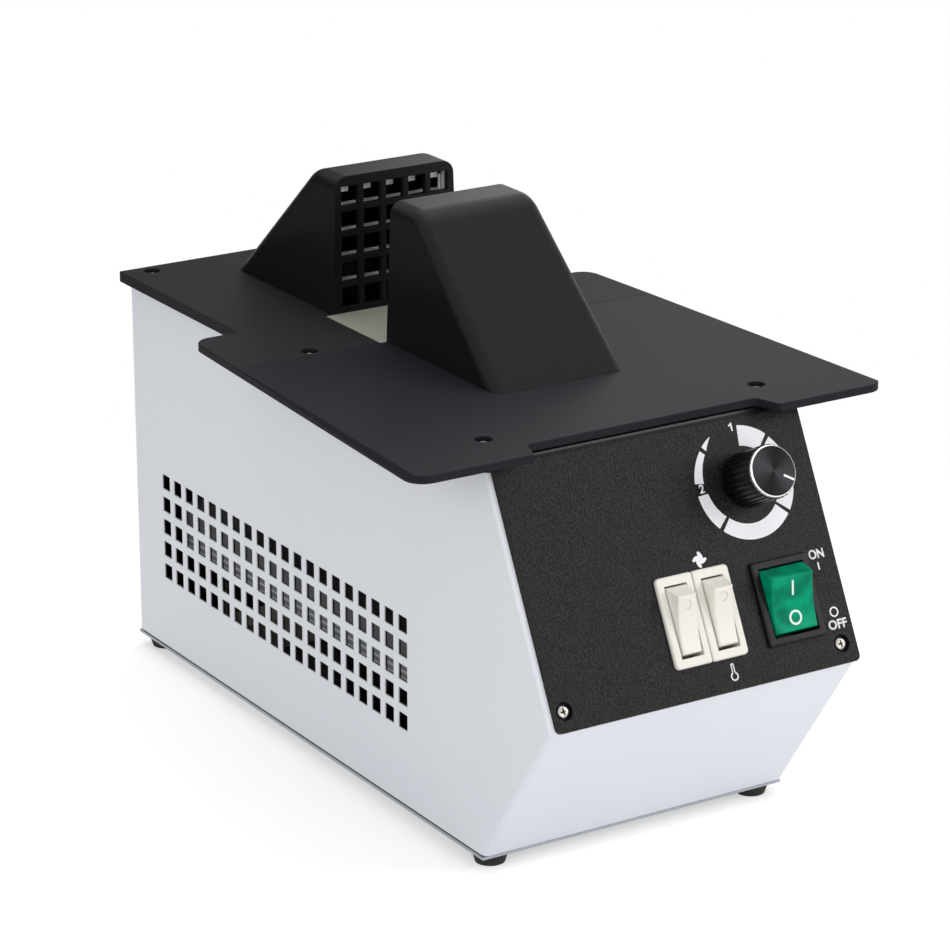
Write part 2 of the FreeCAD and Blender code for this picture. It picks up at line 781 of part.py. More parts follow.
def bevel_sides(body):
    """Slant both side edges of the shelf, from almost nothing at the joint to its front corners."""
    spread = f"(bevel_inset - bevel_start) / ({JOINT_Y} - {SHELF_FRONT})"
    angle = f"atan({WING_RATE} - {spread})"
    reach, rise = "(2 * bevel_inset)", "(2 * bevel_drop)"
    wedge = outline(body, "XZ_Plane", [[(f"-{reach}", rise), (reach, f"-{rise}"), (reach, rise)]])
    turn = FreeCAD.Rotation(FreeCAD.Vector(0, 1, 0), value(angle))
    wedge.AttachmentOffset = FreeCAD.Placement(FreeCAD.Vector(), turn)
    start = {"Rotation.Angle": angle, "Base.x": f"{wing_half(JOINT_Y)} - bevel_start",
             "Base.y": TOP, "Base.z": f"-{JOINT_Y}"}
    for part, text in start.items():
        wedge.setExpression(f".AttachmentOffset.{part}", expression(text))
    bevel = pocket(body, wedge, f"4 * ({JOINT_Y} - {SHELF_FRONT})", both=True)
    mirror = body.newObject("PartDesign::Mirrored", unique("mirror"))
    mirror.Originals = [bevel]
    plane = [item for item in body.Origin.OriginFeatures if item.Role == "YZ_Plane"][0]
    mirror.MirrorPlane = (plane, [""])
    body.Tip = mirror
    doc.recompute()


def make_front_plate():
    """Front top plate: tapering shelf with a notch in its front edge and a land under it."""
    body = new_body("front_plate")
    notch_y = f"({SHELF_FRONT} + notch_depth)"
    half_outline = [("notch_half - notch_slant", notch_y), ("notch_half", SHELF_FRONT),
                    ("wing_front_half", SHELF_FRONT), (wing_half(JOINT_Y), JOINT_Y)]
    mirrored = [(f"-({x})", y) for x, y in reversed(half_outline)]
    pad(body, outline(body, "XY_Plane", [half_outline + mirrored]), "front_plate_thickness",
        start=FRONT_LOW)
    round_edges(body, "plate_corner_radius", corner_at("wing_front_half", SHELF_FRONT))
    round_edges(body, "notch_radius", corner_at("notch_half", SHELF_FRONT))
    round_edges(body, "notch_radius", corner_at("notch_half - notch_slant", notch_y))
    land = rectangle(both(f"{HALF} - fit_gap"), ("front_y + 2 * sheet", JOINT_Y))
    pad(body, outline(body, "XY_Plane", [land]), "rear_plate_thickness - front_plate_thickness", start=DECK)
    mouth = rectangle(MOUTH_X, grown(FRONT_MOUTH, "fit_gap"))
    pocket(body, outline(body, "XY_Plane", [mouth]), "rear_plate_thickness * 3", start=TOP, both=True)
    screw_wells(body, FRONT_SCREWS)
    shanks = circle(body, "XY_Plane", hood_screw_places(JOINT_Y, -1), "screw_shank_radius + screw_clear")
    pocket(body, shanks, "rear_plate_thickness * 3", start=TOP, both=True)
    round_edges(body, "plate_edge_radius", top_rim)
    bevel_sides(body)
    plate_screws("front_plate_screw", FRONT_SCREWS)


def make_floor():
    """Heat-resistant board between the hoods, flush with the plates."""
    board = box(both("floor_half"), (f"{JOINT_Y} + joint_gap", GAP_BACK), (f"{TOP} - floor_thickness", TOP))
    label(board, "gap_floor")


# ---------------------------------------------------------------- hoods
def hood_screw_places(face_y, way):
    """Two screws under the toe of a hood; way is the sense in which it runs back from its face."""
    reach = f"{face_y} + {way} * (hood_length - boss_setback)"
    return paired("boss_x", reach)


def hood_profile(margin, face_wall, low):
    """Wedge outline behind the grille face, inset by a margin; the face is at zero."""
    run = "(hood_length - hood_crest_depth)"
    slant = f"hypot({run}; hood_height) / hood_height"
    crest = f"hood_crest_depth - {margin} * (hypot({run}; hood_height) - {run}) / hood_height"
    toe = f"hood_length - {margin} * {slant} - ({low}) * {run} / hood_height"
    return [(face_wall, low), (toe, low), (crest, f"hood_height - {margin}"),
            (face_wall, f"hood_height - {margin}")]


def crest_edge(edge):
    """True for the long edge between the top and the slope of a hood."""
    along = direction(edge)
    middle = edge.CenterOfMass
    on_top = abs(middle.z - value("hood_height")) < 0.01
    return along is not None and abs(along.x) > 0.99 and on_top and middle.y > value("hood_crest_depth / 2")


def hood_skin(edge):
    """True for the outer edges that a moulding has rounded."""
    middle = edge.CenterOfMass
    above = middle.z > 0.5
    if not above or middle.y < 0.01:
        return False
    return abs(middle.x) > value("hood_top_half") - 1.5


def make_hood(name, face_y, way):
    """Moulded hood: wedge shell, open below, with a grille in its upright face."""
    body = new_body(name)
    pad(body, outline(body, "YZ_Plane", [hood_profile("0", "0", "0")]), "2 * hood_half_width", both=True)
    for side in ("", "-"):
        wedge = [(f"{side}(hood_half_width + 1)", "0"), (f"{side}hood_half_width", "0"),
                 (f"{side}hood_top_half", "hood_height"), (f"{side}(hood_half_width + 1)", "hood_height")]
        pocket(body, outline(body, "XZ_Plane", [wedge]), "4 * hood_length", both=True)
    round_edges(body, "hood_crest_radius", crest_edge)
    round_edges(body, "hood_edge_radius", hood_skin)
    inside = hood_profile("hood_wall", "grille_wall", "-1")
    pocket(body, outline(body, "YZ_Plane", [inside]), "2 * (hood_top_half - hood_wall)", both=True)
    bosses = circle(body, "XY_Plane", paired("boss_x", "hood_length - boss_setback"), "boss_radius")
    pad(body, bosses, "boss_height")
    bores = circle(body, "XY_Plane", paired("boss_x", "hood_length - boss_setback"),
                   "screw_shank_radius + screw_clear")
    pocket(body, bores, "2 * (boss_height - 1)", both=True)
    pitch = "(grille_opening + grille_bar)"
    left = f"(-(grille_count * {pitch} - grille_bar) / 2)"
    cell = rectangle((left, f"{left} + grille_opening"), ("grille_base", "grille_base + grille_opening"))
    hole = pocket(body, outline(body, "XZ_Plane", [cell]), "4 * grille_wall", both=True)
    repeat_grid(body, hole, "grille", ("X_Axis", pitch, "grille_count"), ("Z_Axis", pitch, "grille_count"))
    place(body, "0", face_y, TOP, axis=(0, 0, 1), angle="0" if way > 0 else "180")
    doc.recompute()


def make_liner(name, face_y, way):
    """Folded grey sheet that lines a hood and turns the air towards the grille."""
    body = new_body(name)
    margin = "(hood_wall + liner_gap)"
    outer_half = f"(hood_top_half - {margin})"
    outside = hood_profile(margin, "grille_wall + liner_gap", "boss_height + 1")
    pad(body, outline(body, "YZ_Plane", [outside]), f"2 * {outer_half}", both=True)
    inner = f"({margin} + liner_sheet)"
    pocket(body, outline(body, "YZ_Plane", [hood_profile(inner, "0", "0")]),
           f"2 * ({outer_half} - liner_sheet)", both=True)
    place(body, "0", face_y, TOP, axis=(0, 0, 1), angle="0" if way > 0 else "180")
    doc.recompute()


# ---------------------------------------------------------------- control panel
def make_panel():
    """Textured plate over the sloping face, with cut-outs and sunk screws."""
    body = new_body("control_panel")
    edge = f"({HALF} - panel_edge_inset)"
    face = rectangle((f"panel_shift - {edge}", f"panel_shift + {edge}"), ("0", f"{SLOPE_LENGTH} - panel_top_gap"))
    pad(body, outline(body, "XY_Plane", [face]), "panel_thickness")
    round_edges(body, "panel_corner_radius",
                lambda edge: upright(edge) and abs(edge.CenterOfMass.y) < 0.01)
    for sketch in control_holes(body, False):
        pocket(body, sketch, "4 * panel_thickness", both=True)
    wells = circle(body, "XY_Plane", PANEL_SCREWS, "screw_hole_radius")
    pocket(body, wells, "panel_screw_sink", start="panel_thickness")
    place(body, *on_slope(), axis=(1, 0, 0), angle=SLOPE_ANGLE)
    doc.recompute()
    head_out = "panel_thickness - panel_screw_sink + screw_head_height"
    screws("panel_screw", [on_slope(x, rise, head_out) for x, rise in PANEL_SCREWS], angle=SLOPE_ANGLE)


# ---------------------------------------------------------------- rocker switches
PIVOT_OUT = f"({SWITCH_TOP} - pivot_depth)"


def frame_corner(side, frame_width, frame_length):
    """Test for the upright corner edges at one side of a switch's frame."""
    def chosen(edge):
        middle = edge.CenterOfMass
        at_corner = (abs(side * middle.x - value(frame_width) / 2) < 0.01
                     and abs(abs(middle.y) - value(frame_length) / 2) < 0.01)
        return upright(edge) and at_corner
    return chosen


def make_switch(name, across, rise, frame_width, frame_length, rocker_width, rocker_length):
    """Frame and barrel, terminals and the rocker on its pins."""
    half_width = f"({rocker_width} / 2 + rocker_gap)"
    half_length = f"({rocker_length} / 2 + rocker_gap)"
    swing = f"{rocker_length} / 2 * sin(rocker_tilt)"
    well = f"pivot_depth + rocker_under + {swing} + rocker_gap"
    body = new_body(f"{name}_switch")
    barrel = rectangle(both(f"({half_width} + switch_wall)"), both(f"({half_length} + switch_wall)"))
    pad(body, outline(body, "XY_Plane", [barrel]), "switch_depth + panel_thickness", start="-switch_depth")
    frame = rectangle(both(f"{frame_width} / 2"), both(f"{frame_length} / 2"))
    pad(body, outline(body, "XY_Plane", [frame]), "frame_proud", start="panel_thickness")
    for side, radius in zip((-1, 1), FRAME_CORNERS[name]):
        round_edges(body, radius, frame_corner(side, frame_width, frame_length))
    round_edges(body, "frame_radius", lambda edge: edge.CenterOfMass.z > value(SWITCH_TOP) - 0.01)
    window = rectangle(both(half_width), both(half_length))
    pocket(body, outline(body, "XY_Plane", [window]), well, start=SWITCH_TOP)
    eye = circle(body, "YZ_Plane", [("0", PIVOT_OUT)], "rocker_pin_radius + pin_clear")
    pocket(body, eye, f"2 * ({half_width} + switch_wall)", both=True)
    place(body, *on_slope(across, rise), axis=(1, 0, 0), angle=SLOPE_ANGLE)

    blades = []
    for step in ("-1", "0", "1"):
        blade_y = f"{step} * {rocker_length} / 3"
        blades.append(box(both("blade_width / 2"), grown((blade_y, blade_y), "blade_sheet / 2"),
                          ("-switch_depth - blade_length", "-switch_depth")))
    blade_group = group(blades)
    place(blade_group, *on_slope(across, rise), axis=(1, 0, 0), angle=SLOPE_ANGLE)
    label(blade_group, f"{name}_terminals")

    rocker = new_body(f"{name}_rocker")
    reach = f"({rocker_length} / 2)"
    crown = "(pivot_depth + rocker_rise)"
    stock = f"({crown} + {reach} / 3)"
    stock_end = f"({reach} - {stock} * tan(rocker_end_draft))"
    shape = [(f"-{reach}", "-rocker_under"), (reach, "-rocker_under"), (reach, "0"),
             (stock_end, stock), (f"-{stock_end}", stock), (f"-{reach}", "0")]
    pad(rocker, outline(rocker, "YZ_Plane", [shape]), rocker_width, both=True)
    dish = circle(rocker, "YZ_Plane", [("0", f"{crown} + rocker_dish_radius")], "rocker_dish_radius")
    pocket(rocker, dish, f"{rocker_width} * 2", both=True)
    for side in ("", "-"):
        edge_x = f"({rocker_width} / 2)"
        wedge = [(f"{side}({edge_x} + 1)", "0"), (f"{side}{edge_x}", "0"),
                 (f"{side}({edge_x} - {reach} * tan(rocker_side_draft))", reach),
                 (f"{side}({edge_x} + 1)", reach)]
        pocket(rocker, outline(rocker, "XZ_Plane", [wedge]), f"{rocker_length} * 2", both=True)
    ring = outline(rocker, "YZ_Plane", [])
    for size in (reach, rocker_length):
        index = ring.addGeometry(Part.Circle(FreeCAD.Vector(), FreeCAD.Vector(0, 0, 1), value(size)), False)
        ring.addConstraint(Sketcher.Constraint("Coincident", index, 3, -1, 1))
        number = ring.addConstraint(Sketcher.Constraint("Radius", index, value(size)))
        ring.setExpression(f"Constraints[{number}]", expression(size))
    pocket(rocker, ring, f"{rocker_width} * 2", both=True)
    round_edges(rocker, "rocker_edge", lambda edge: edge.CenterOfMass.z > value(crown) - 0.5)
    if name != "main":
        spot = circle(rocker, "XY_Plane", [("0", "dimple_reach")], "dimple_radius")
        lean = "asin(dimple_reach / rocker_dish_radius)"
        foot = f"({crown} + rocker_dish_radius * (1 - 1 / cos({lean})) + dimple_depth)"
        pocket(rocker, tilt(spot, lean, "0", foot), "2 * dimple_depth")
    pin = circle(rocker, "YZ_Plane", [("0", "0")], "rocker_pin_radius")
    pad(rocker, pin, f"{rocker_width} + 2 * (rocker_gap + rocker_pin_reach)", both=True)
    place(rocker, *on_slope(across, rise, PIVOT_OUT), axis=(1, 0, 0),
          angle=f"{SLOPE_ANGLE} + rocker_tilt * 1deg")
    doc.recompute()


# ---------------------------------------------------------------- knob and potentiometer
KNOB_LOW = "(panel_thickness + knob_lift)"
KNOB_TOP = f"({KNOB_LOW} + knob_height)"
ON_KNOB_AXIS = on_slope("knob_x", KNOB_RISE)


def make_knob():
    """Fluted knob, its bright cap with a white pointer, and the shaft it sits on."""
    body = new_body("knob")
    centre = [("0", "0")]
    pad(body, circle(body, "XY_Plane", centre, "knob_radius"), "knob_height - cap_thickness",
        start=KNOB_LOW)
    recess = circle(body, "XY_Plane", centre, "nut_radius + nut_clear")
    pocket(body, recess, "knob_recess", start=KNOB_LOW, back=True)
    bore = circle(body, "XY_Plane", centre, "shaft_radius")
    pocket(body, bore, "knob_bore_depth", start=KNOB_LOW, back=True)
    flute = circle(body, "XY_Plane", [("knob_radius", "0")], "flute_radius")
    groove = pocket(body, flute, "knob_height * 4", both=True)
    pattern = body.newObject("PartDesign::PolarPattern", unique("flutes"))
    pattern.Originals = [groove]
    pattern.Axis = ([item for item in body.Origin.OriginFeatures if item.Role == "Z_Axis"][0], [""])
    pattern.Angle = 360
    bind(pattern, Occurrences="flutes")
    body.Tip = pattern
    place(body, *ON_KNOB_AXIS, axis=(1, 0, 0), angle=SLOPE_ANGLE)

    rim = "(knob_radius - flute_radius)"
    disc = cylinder("z", ("0", "0", f"{KNOB_TOP} - cap_thickness"), rim, "cap_thickness - cap_chamfer")
    bevel = cone(("0", "0", f"{KNOB_TOP} - cap_chamfer"), rim, f"{rim} - cap_chamfer", "cap_chamfer")
    groove_box = (("pointer_start", f"{rim} - cap_chamfer - pointer_margin"), both("pointer_width / 2"))
    slot = box(*groove_box, (f"{KNOB_TOP} - pointer_depth", f"{KNOB_TOP} + 1"))
    turned = []
    line = box(*groove_box, (f"{KNOB_TOP} - pointer_depth", KNOB_TOP))
    for item in (slot, line):
        holder = group([item])
        place(holder, axis=(0, 0, -1), angle="pointer_angle")
        turned.append(holder)
    cap = cut(fuse(disc, bevel), turned[0])
    place(cap, *ON_KNOB_AXIS, axis=(1, 0, 0), angle=SLOPE_ANGLE)
    label(cap, "knob_cap")
    pointer = group([turned[1]])
    place(pointer, *ON_KNOB_AXIS, axis=(1, 0, 0), angle=SLOPE_ANGLE)
    label(pointer, "knob_pointer")

    shaft = cylinder("z", ("0", "0", "-sheet - pot_depth / 2"), "shaft_radius",
                     f"sheet + pot_depth / 2 + {KNOB_LOW} + knob_bore_depth")
    holder = group([shaft])
    place(holder, *ON_KNOB_AXIS, axis=(1, 0, 0), angle=SLOPE_ANGLE)
    label(holder, "knob_shaft")


def make_potentiometer():
    """Control body behind the sheet, its threaded bush and the nut on the panel."""
    can = cylinder("z", ("0", "0", "-sheet - pot_depth"), "pot_radius", "pot_depth")
    bush = cylinder("z", ("0", "0", "-sheet"), "bush_radius",
                    "sheet + panel_thickness + nut_thickness")
    bore = cylinder("z", ("0", "0", "-sheet - pot_depth / 2 - fit_gap"), "shaft_radius + pin_clear",
                    "pot_depth + 2 * sheet + panel_thickness + nut_thickness")
    item = cut(fuse(can, bush), bore)
    place(item, *ON_KNOB_AXIS, axis=(1, 0, 0), angle=SLOPE_ANGLE)
    label(item, "potentiometer")

    hexagon = doc.addObject("Part::Prism", unique("prism"))
    hexagon.Polygon = 6
    bind(hexagon, Circumradius="nut_radius", Height="nut_thickness")
    place(hexagon, z="panel_thickness")
    nut = cut(hexagon, cylinder("z", ("0", "0", "0"), "bush_radius", "panel_thickness * 4"))
    place(nut, *ON_KNOB_AXIS, axis=(1, 0, 0), angle=SLOPE_ANGLE)
    label(nut, "potentiometer_nut")


# ---------------------------------------------------------------- blower
def tube(axis, at, outer, inner, length):
    """A plain tube along an axis."""
    return cut(cylinder(axis, at, outer, length), cylinder(axis, at, inner, length))


def make_blower():
    """Scroll with a side inlet, saddle, motor, bearings, shaft and squirrel-cage wheel."""
    half = "(scroll_width / 2)"
    span_y = (BLOWER_Y, f"{BLOWER_Y} + outlet_depth")
    drum = cylinder("x", (f"-{half}", BLOWER_Y, BLOWER_Z), "scroll_radius", "scroll_width")
    neck = box(both(half), span_y, (BLOWER_Z, SHIELD_TOP))
    inner_half = f"({half} - scroll_wall)"
    drum_space = cylinder("x", (f"-{inner_half}", BLOWER_Y, BLOWER_Z), "scroll_radius - scroll_wall",
                          f"2 * {inner_half}")
    neck_space = box(both(inner_half), grown(span_y, "-scroll_wall"), (BLOWER_Z, f"{SHIELD_TOP} + 1"))
    inlet = cylinder("x", (f"-{half} - 1", BLOWER_Y, BLOWER_Z), "inlet_radius", "scroll_wall + 2")
    shaft_hole = cylinder("x", (f"{inner_half} - 1", BLOWER_Y, BLOWER_Z), "bearing_radius + fit_gap",
                          "scroll_wall + 2")
    label(cut(fuse(drum, neck), fuse(drum_space, neck_space), inlet, shaft_hole), "blower_scroll")

    block = box(both("saddle_width / 2"), grown((BLOWER_Y, BLOWER_Y), "saddle_half"),
                (BASE_TOP, f"{BLOWER_Z} - scroll_radius + saddle_bite"))
    seat = cylinder("x", (f"-{half}", BLOWER_Y, BLOWER_Z), "scroll_radius", "scroll_width")
    label(cut(block, seat), "blower_saddle")

    motor_at = (half, BLOWER_Y, BLOWER_Z)
    label(tube("x", motor_at, "motor_radius", "bearing_radius", "motor_length"), "blower_motor")
    bearings = [tube("x", (start, BLOWER_Y, BLOWER_Z), "bearing_radius", "axle_radius + pin_clear",
                     "bearing_length")
                for start in (half, f"{half} + motor_length - bearing_length")]
    label(group(bearings), "motor_bearing")
    axle = cylinder("x", ("-hub_length / 2", BLOWER_Y, BLOWER_Z), "axle_radius",
                    f"hub_length / 2 + {half} + motor_length + axle_end")
    label(group([axle]), "motor_shaft")
    make_impeller()


def make_impeller():
    """Squirrel-cage wheel: hub, back disc, blades and front ring."""
    body = new_body("impeller")
    centre = [("0", "0")]
    half = "impeller_width / 2"
    pad(body, circle(body, "XY_Plane", centre, "impeller_radius"), "scroll_wall",
        start=f"{half} - scroll_wall")
    blade = rectangle(("impeller_radius - blade_depth", "impeller_radius - blade_tip"),
                      both("blade_thickness / 2"))
    vane = pad(body, outline(body, "XY_Plane", [blade]), "impeller_width", start=f"-({half})")
    pattern = body.newObject("PartDesign::PolarPattern", unique("vanes"))
    pattern.Originals = [vane]
    pattern.Axis = ([item for item in body.Origin.OriginFeatures if item.Role == "Z_Axis"][0], [""])
    pattern.Angle = 360
    bind(pattern, Occurrences="blades")
    body.Tip = pattern
    doc.recompute()
    pad(body, circle(body, "XY_Plane", centre, "impeller_radius"), "scroll_wall", start=f"-({half})")
    pocket(body, circle(body, "XY_Plane", centre, "impeller_radius - blade_depth"),
           "impeller_width - 2 * scroll_wall", start=f"-({half}) - 0.1", back=True)
    pad(body, circle(body, "XY_Plane", centre, "hub_radius"), "hub_length / 2 + impeller_width / 2",
        start="-hub_length / 2")
    pocket(body, circle(body, "XY_Plane", centre, "axle_radius"), "4 * impeller_width", both=True)
    place(body, "0", BLOWER_Y, BLOWER_Z, axis=(0, 1, 0), angle="90")
    doc.recompute()


# ---------------------------------------------------------------- air duct and heaters
def make_duct():
    """Heat shield on posts, plenum and the two stacks."""
    shield_y = (f"{FRONT_MOUTH[0]} - shield_overhang", f"{REAR_MOUTH[1]} + shield_overhang")
    plate = box(both("shield_half_width"), shield_y, (SHIELD_LOW, SHIELD_TOP))
    sides = []
    for x in (("shield_half_width - sheet", "shield_half_width"),
              ("-shield_half_width", "sheet - shield_half_width")):
        sides.append(box(x, shield_y, (f"{SHIELD_TOP} - shield_flange", SHIELD_TOP)))
    throat = box(both("scroll_width / 2 + fit_gap"),
                 grown((BLOWER_Y, f"{BLOWER_Y} + outlet_depth"), "fit_gap"),
                 (f"{SHIELD_LOW} - 1", f"{SHIELD_TOP} + 1"))
    label(cut(fuse(plate, *sides), throat), "heat_shield")
    posts = [cylinder("z", (x, y, BASE_TOP), "post_radius", f"{SHIELD_LOW} - {BASE_TOP}")
             for y in (FRONT_MOUTH[0], REAR_MOUTH[1]) for x in ("post_x", "-post_x")]
    label(group(posts), "shield_post")

    run = (FRONT_MOUTH[0], REAR_MOUTH[1])
    outer = box(both("plenum_half_width"), run, (SHIELD_TOP, PLENUM_TOP))
    hollow = box(both("plenum_half_width - duct_sheet"), grown(run, "-duct_sheet"),
                 (f"{SHIELD_TOP} + duct_sheet", f"{PLENUM_TOP} - duct_sheet"))
    stack_inner = "stack_half_width - duct_sheet"
    mouths = [box(both(stack_inner), grown(mouth, "-duct_sheet"), (f"{PLENUM_TOP} - 2", f"{PLENUM_TOP} + 1"))
              for mouth in (FRONT_MOUTH, REAR_MOUTH)]
    intake = box(both("scroll_width / 2 - scroll_wall"),
                 grown((BLOWER_Y, f"{BLOWER_Y} + outlet_depth"), "-scroll_wall"),
                 (f"{SHIELD_TOP} - 1", f"{SHIELD_TOP} + 2"))
    label(cut(outer, hollow, intake, *mouths), "plenum")
    for name, mouth in (("front", FRONT_MOUTH), ("rear", REAR_MOUTH)):
        shell = box(both("stack_half_width"), mouth, (PLENUM_TOP, TOP))
        space = box(both(stack_inner), grown(mouth, "-duct_sheet"), (f"{PLENUM_TOP} - 1", f"{TOP} + 1"))
        label(cut(shell, space), f"{name}_stack")
        make_heater(name, grown(mouth, "-duct_sheet"))


def make_heater(name, span):
    """Two mica boards across a stack with resistance coils strung between them."""
    low = f"({PLENUM_TOP} + board_lift)"
    board_x = both("stack_half_width - duct_sheet")
    ends = [(span[0], f"{span[0]} + board_thickness"), (f"{span[1]} - board_thickness", span[1])]
    boards = [box(board_x, y, (low, f"{low} + board_height")) for y in ends]
    label(group(boards), f"{name}_heater_boards")
    coils = []
    for index in range(round(value("coils"))):
        x = f"({index} - (coils - 1) / 2) * 2 * stack_half_width / (coils + 1)"
        coils.append(tube("y", (x, ends[0][1], f"{low} + board_height / 2"), "coil_radius",
                          "coil_radius - coil_wire", f"{ends[1][0]} - ({ends[0][1]})"))
    label(group(coils), f"{name}_heater_coils")


# ---------------------------------------------------------------- electrical fittings
def make_fittings():
    """Thermal cut-out, terminal block, mains inlet, its pins and its screws."""
    cutout = cylinder("x", ("plenum_half_width", f"{REAR_MOUTH[0]}", f"{SHIELD_TOP} + plenum_height / 2"),
                      "cutout_radius", "cutout_height")
    label(group([cutout]), "thermal_cutout")

    block_x = ("-block_inset - block_length", "-block_inset")
    block_y = (f"{BACK} - block_setback - block_width", f"{BACK} - block_setback")
    block = box(block_x, block_y, (BASE_TOP, f"{BASE_TOP} + block_height"))
    wells = [cylinder("z", (f"{block_x[0]} + block_length * {step} / 8",
                            f"{block_y[0]} + block_width / 2", f"{BASE_TOP} + block_height / 2"),
                      "screw_head_radius", "block_height") for step in (1, 3, 5, 7)]
    label(cut(block, *wells), "terminal_block")

    face_y = f"({BACK} - sheet)"
    wide = grown(("inlet_x", "inlet_x"), "inlet_width / 2")
    tall = grown(("inlet_z", "inlet_z"), "inlet_height / 2")
    barrel = box(wide, (f"{face_y} - inlet_depth", face_y), tall)
    flange = box(grown(("inlet_x", "inlet_x"), "inlet_flange_width / 2"),
                 (face_y, f"{face_y} + inlet_flange_thickness"), grown(tall, "inlet_wall"))
    socket_low = f"({face_y} - inlet_depth + inlet_wall * 2)"
    socket = box(grown(wide, "-inlet_wall"), (socket_low, f"{face_y} + inlet_flange_thickness + 1"),
                 grown(tall, "-inlet_wall"))
    holes = [cylinder("y", (f"inlet_x {sign} inlet_screw_reach", face_y, "inlet_z"),
                      "screw_shank_radius + screw_clear", "inlet_flange_thickness + 1") for sign in "+-"]
    label(cut(fuse(barrel, flange), socket, *holes), "power_inlet")
    pins = []
    for shift, rise in (("-pin_pitch", "-pin_rise"), ("0", "pin_rise"), ("pin_pitch", "-pin_rise")):
        pins.append(box(grown((f"inlet_x + {shift}",) * 2, "pin_width / 2"),
                        (socket_low, f"{socket_low} + pin_length"),
                        grown((f"inlet_z + {rise}",) * 2, "pin_width")))
    label(group(pins), "inlet_pin")
    head_y = f"{face_y} + inlet_flange_thickness + screw_head_height"
    screws("inlet_screw", [(f"inlet_x {sign} inlet_screw_reach", head_y, "inlet_z") for sign in "+-"],
           axis=(-1, 0, 0), angle="90")


# ---------------------------------------------------------------- assembly
make_housing()
make_base_pan()
make_feet()
make_back_panel()
make_rear_plate()
make_front_plate()
make_floor()
for hood, face, sense in (("front", JOINT_Y, -1), ("rear", GAP_BACK, 1)):
    make_hood(f"{hood}_hood", face, sense)
    make_liner(f"{hood}_liner", face, sense)
hood_screws = hood_screw_places(JOINT_Y, -1) + hood_screw_places(GAP_BACK, 1)
screws("hood_screw", [(x, y, f"{DECK} - screw_head_height") for x, y in hood_screws], angle="180")
make_panel()
for switch, layout in SWITCHES.items():
    make_switch(switch, *layout)
make_knob()
make_potentiometer()
make_blower()
make_duct()
make_fittings()

doc.recompute()
for item in doc.Objects:
    if "Invalid" in item.State or "Error" in item.State:
        raise RuntimeError(f"{item.Name} failed: {item.State}")
for item in NODES:
    if item.Shape.isNull() or not item.Shape.isValid():
        raise RuntimeError(f"{item.Label} has no valid shape")
os.makedirs("parts", exist_ok=True)
for item in NODES:
    item.Shape.exportStep(f"parts/{item.Label}.step")
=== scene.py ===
"""Eyeglass frame warmer: the finish of every piece, its printed marks, screws, guards and heating wire."""
import math

import bmesh
import bpy
from mathutils import Matrix, Vector


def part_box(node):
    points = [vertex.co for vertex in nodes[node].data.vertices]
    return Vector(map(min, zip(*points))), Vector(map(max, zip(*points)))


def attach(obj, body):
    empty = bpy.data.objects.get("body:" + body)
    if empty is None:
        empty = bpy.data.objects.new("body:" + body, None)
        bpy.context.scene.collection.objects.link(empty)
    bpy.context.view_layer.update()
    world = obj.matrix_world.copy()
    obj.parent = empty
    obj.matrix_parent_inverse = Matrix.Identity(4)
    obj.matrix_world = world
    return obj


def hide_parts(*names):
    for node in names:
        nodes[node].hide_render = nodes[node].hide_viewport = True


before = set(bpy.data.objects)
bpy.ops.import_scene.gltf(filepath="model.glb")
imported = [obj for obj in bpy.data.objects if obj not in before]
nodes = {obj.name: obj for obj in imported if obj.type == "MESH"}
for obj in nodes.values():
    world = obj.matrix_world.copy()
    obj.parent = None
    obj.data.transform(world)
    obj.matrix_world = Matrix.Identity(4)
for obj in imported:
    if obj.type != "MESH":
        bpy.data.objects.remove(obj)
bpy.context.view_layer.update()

# ---------------------------------------------------------------- housing, base pan and back panel
# One folded sheet of 1.2 mm steel makes both vented sides and the beak of the front; a pan closes it below
# and a flat panel behind, all powder coated white. The inside and a strip of the joint above the panel are
# painted near black, as painted shade.
MM = 0.001


def colour(code):
    """Linear colour of an sRGB hex value."""
    parts = [int(code[at:at + 2], 16) / 255 for at in (1, 3, 5)]
    return [part / 12.92 if part <= 0.04045 else ((part + 0.055) / 1.055) ** 2.4 for part in parts] + [1.0]


def add(tree, kind, inputs=None, **settings):
    """A node with its settings; an input is given a value or another node's output."""
    node = tree.nodes.new(kind)
    for name, setting in settings.items():
        setattr(node, name, setting)
    for name, given in (inputs or {}).items():
        if isinstance(given, bpy.types.NodeSocket):
            tree.links.new(given, node.inputs[name])
        else:
            node.inputs[name].default_value = given
    return node


def finish(name, code, **values):
    """A material with one surface shader; returns it, its tree, the shader and where a point lies."""
    made = bpy.data.materials.new(name)
    made.use_nodes = True
    tree = made.node_tree
    tree.nodes.clear()
    inputs = {key.replace("_", " ").title().replace("Ior", "IOR"): value for key, value in values.items()}
    shader = add(tree, "ShaderNodeBsdfPrincipled", {"Base Color": colour(code), **inputs})
    add(tree, "ShaderNodeOutputMaterial", {"Surface": shader.outputs[0]})
    place = add(tree, "ShaderNodeTexCoord").outputs["Object"]
    return made, tree, shader, place


def tint(tree, shader, amount, code):
    """Lays another colour over those that the surface has so far, by an amount from 0 to 1."""
    socket = shader.inputs["Base Color"]
    under = socket.links[0].from_socket if socket.is_linked else socket.default_value[:]
    mix = add(tree, "ShaderNodeMix", {0: amount, 6: under, 7: colour(code)}, data_type="RGBA")
    tree.links.new(mix.outputs[2], socket)


def relief(tree, shader, height, depth, strength, edge=0.0):
    """Raises the surface by a height from 0 to 1 times depth; corners soften over edge. Both are in mm."""
    bump = add(tree, "ShaderNodeBump", {"Height": height, "Distance": depth * MM, "Strength": strength})
    if edge:
        corner = add(tree, "ShaderNodeBevel", {"Radius": edge * MM}, samples=4)
        tree.links.new(corner.outputs[0], bump.inputs["Normal"])
    tree.links.new(bump.outputs[0], shader.inputs["Normal"])


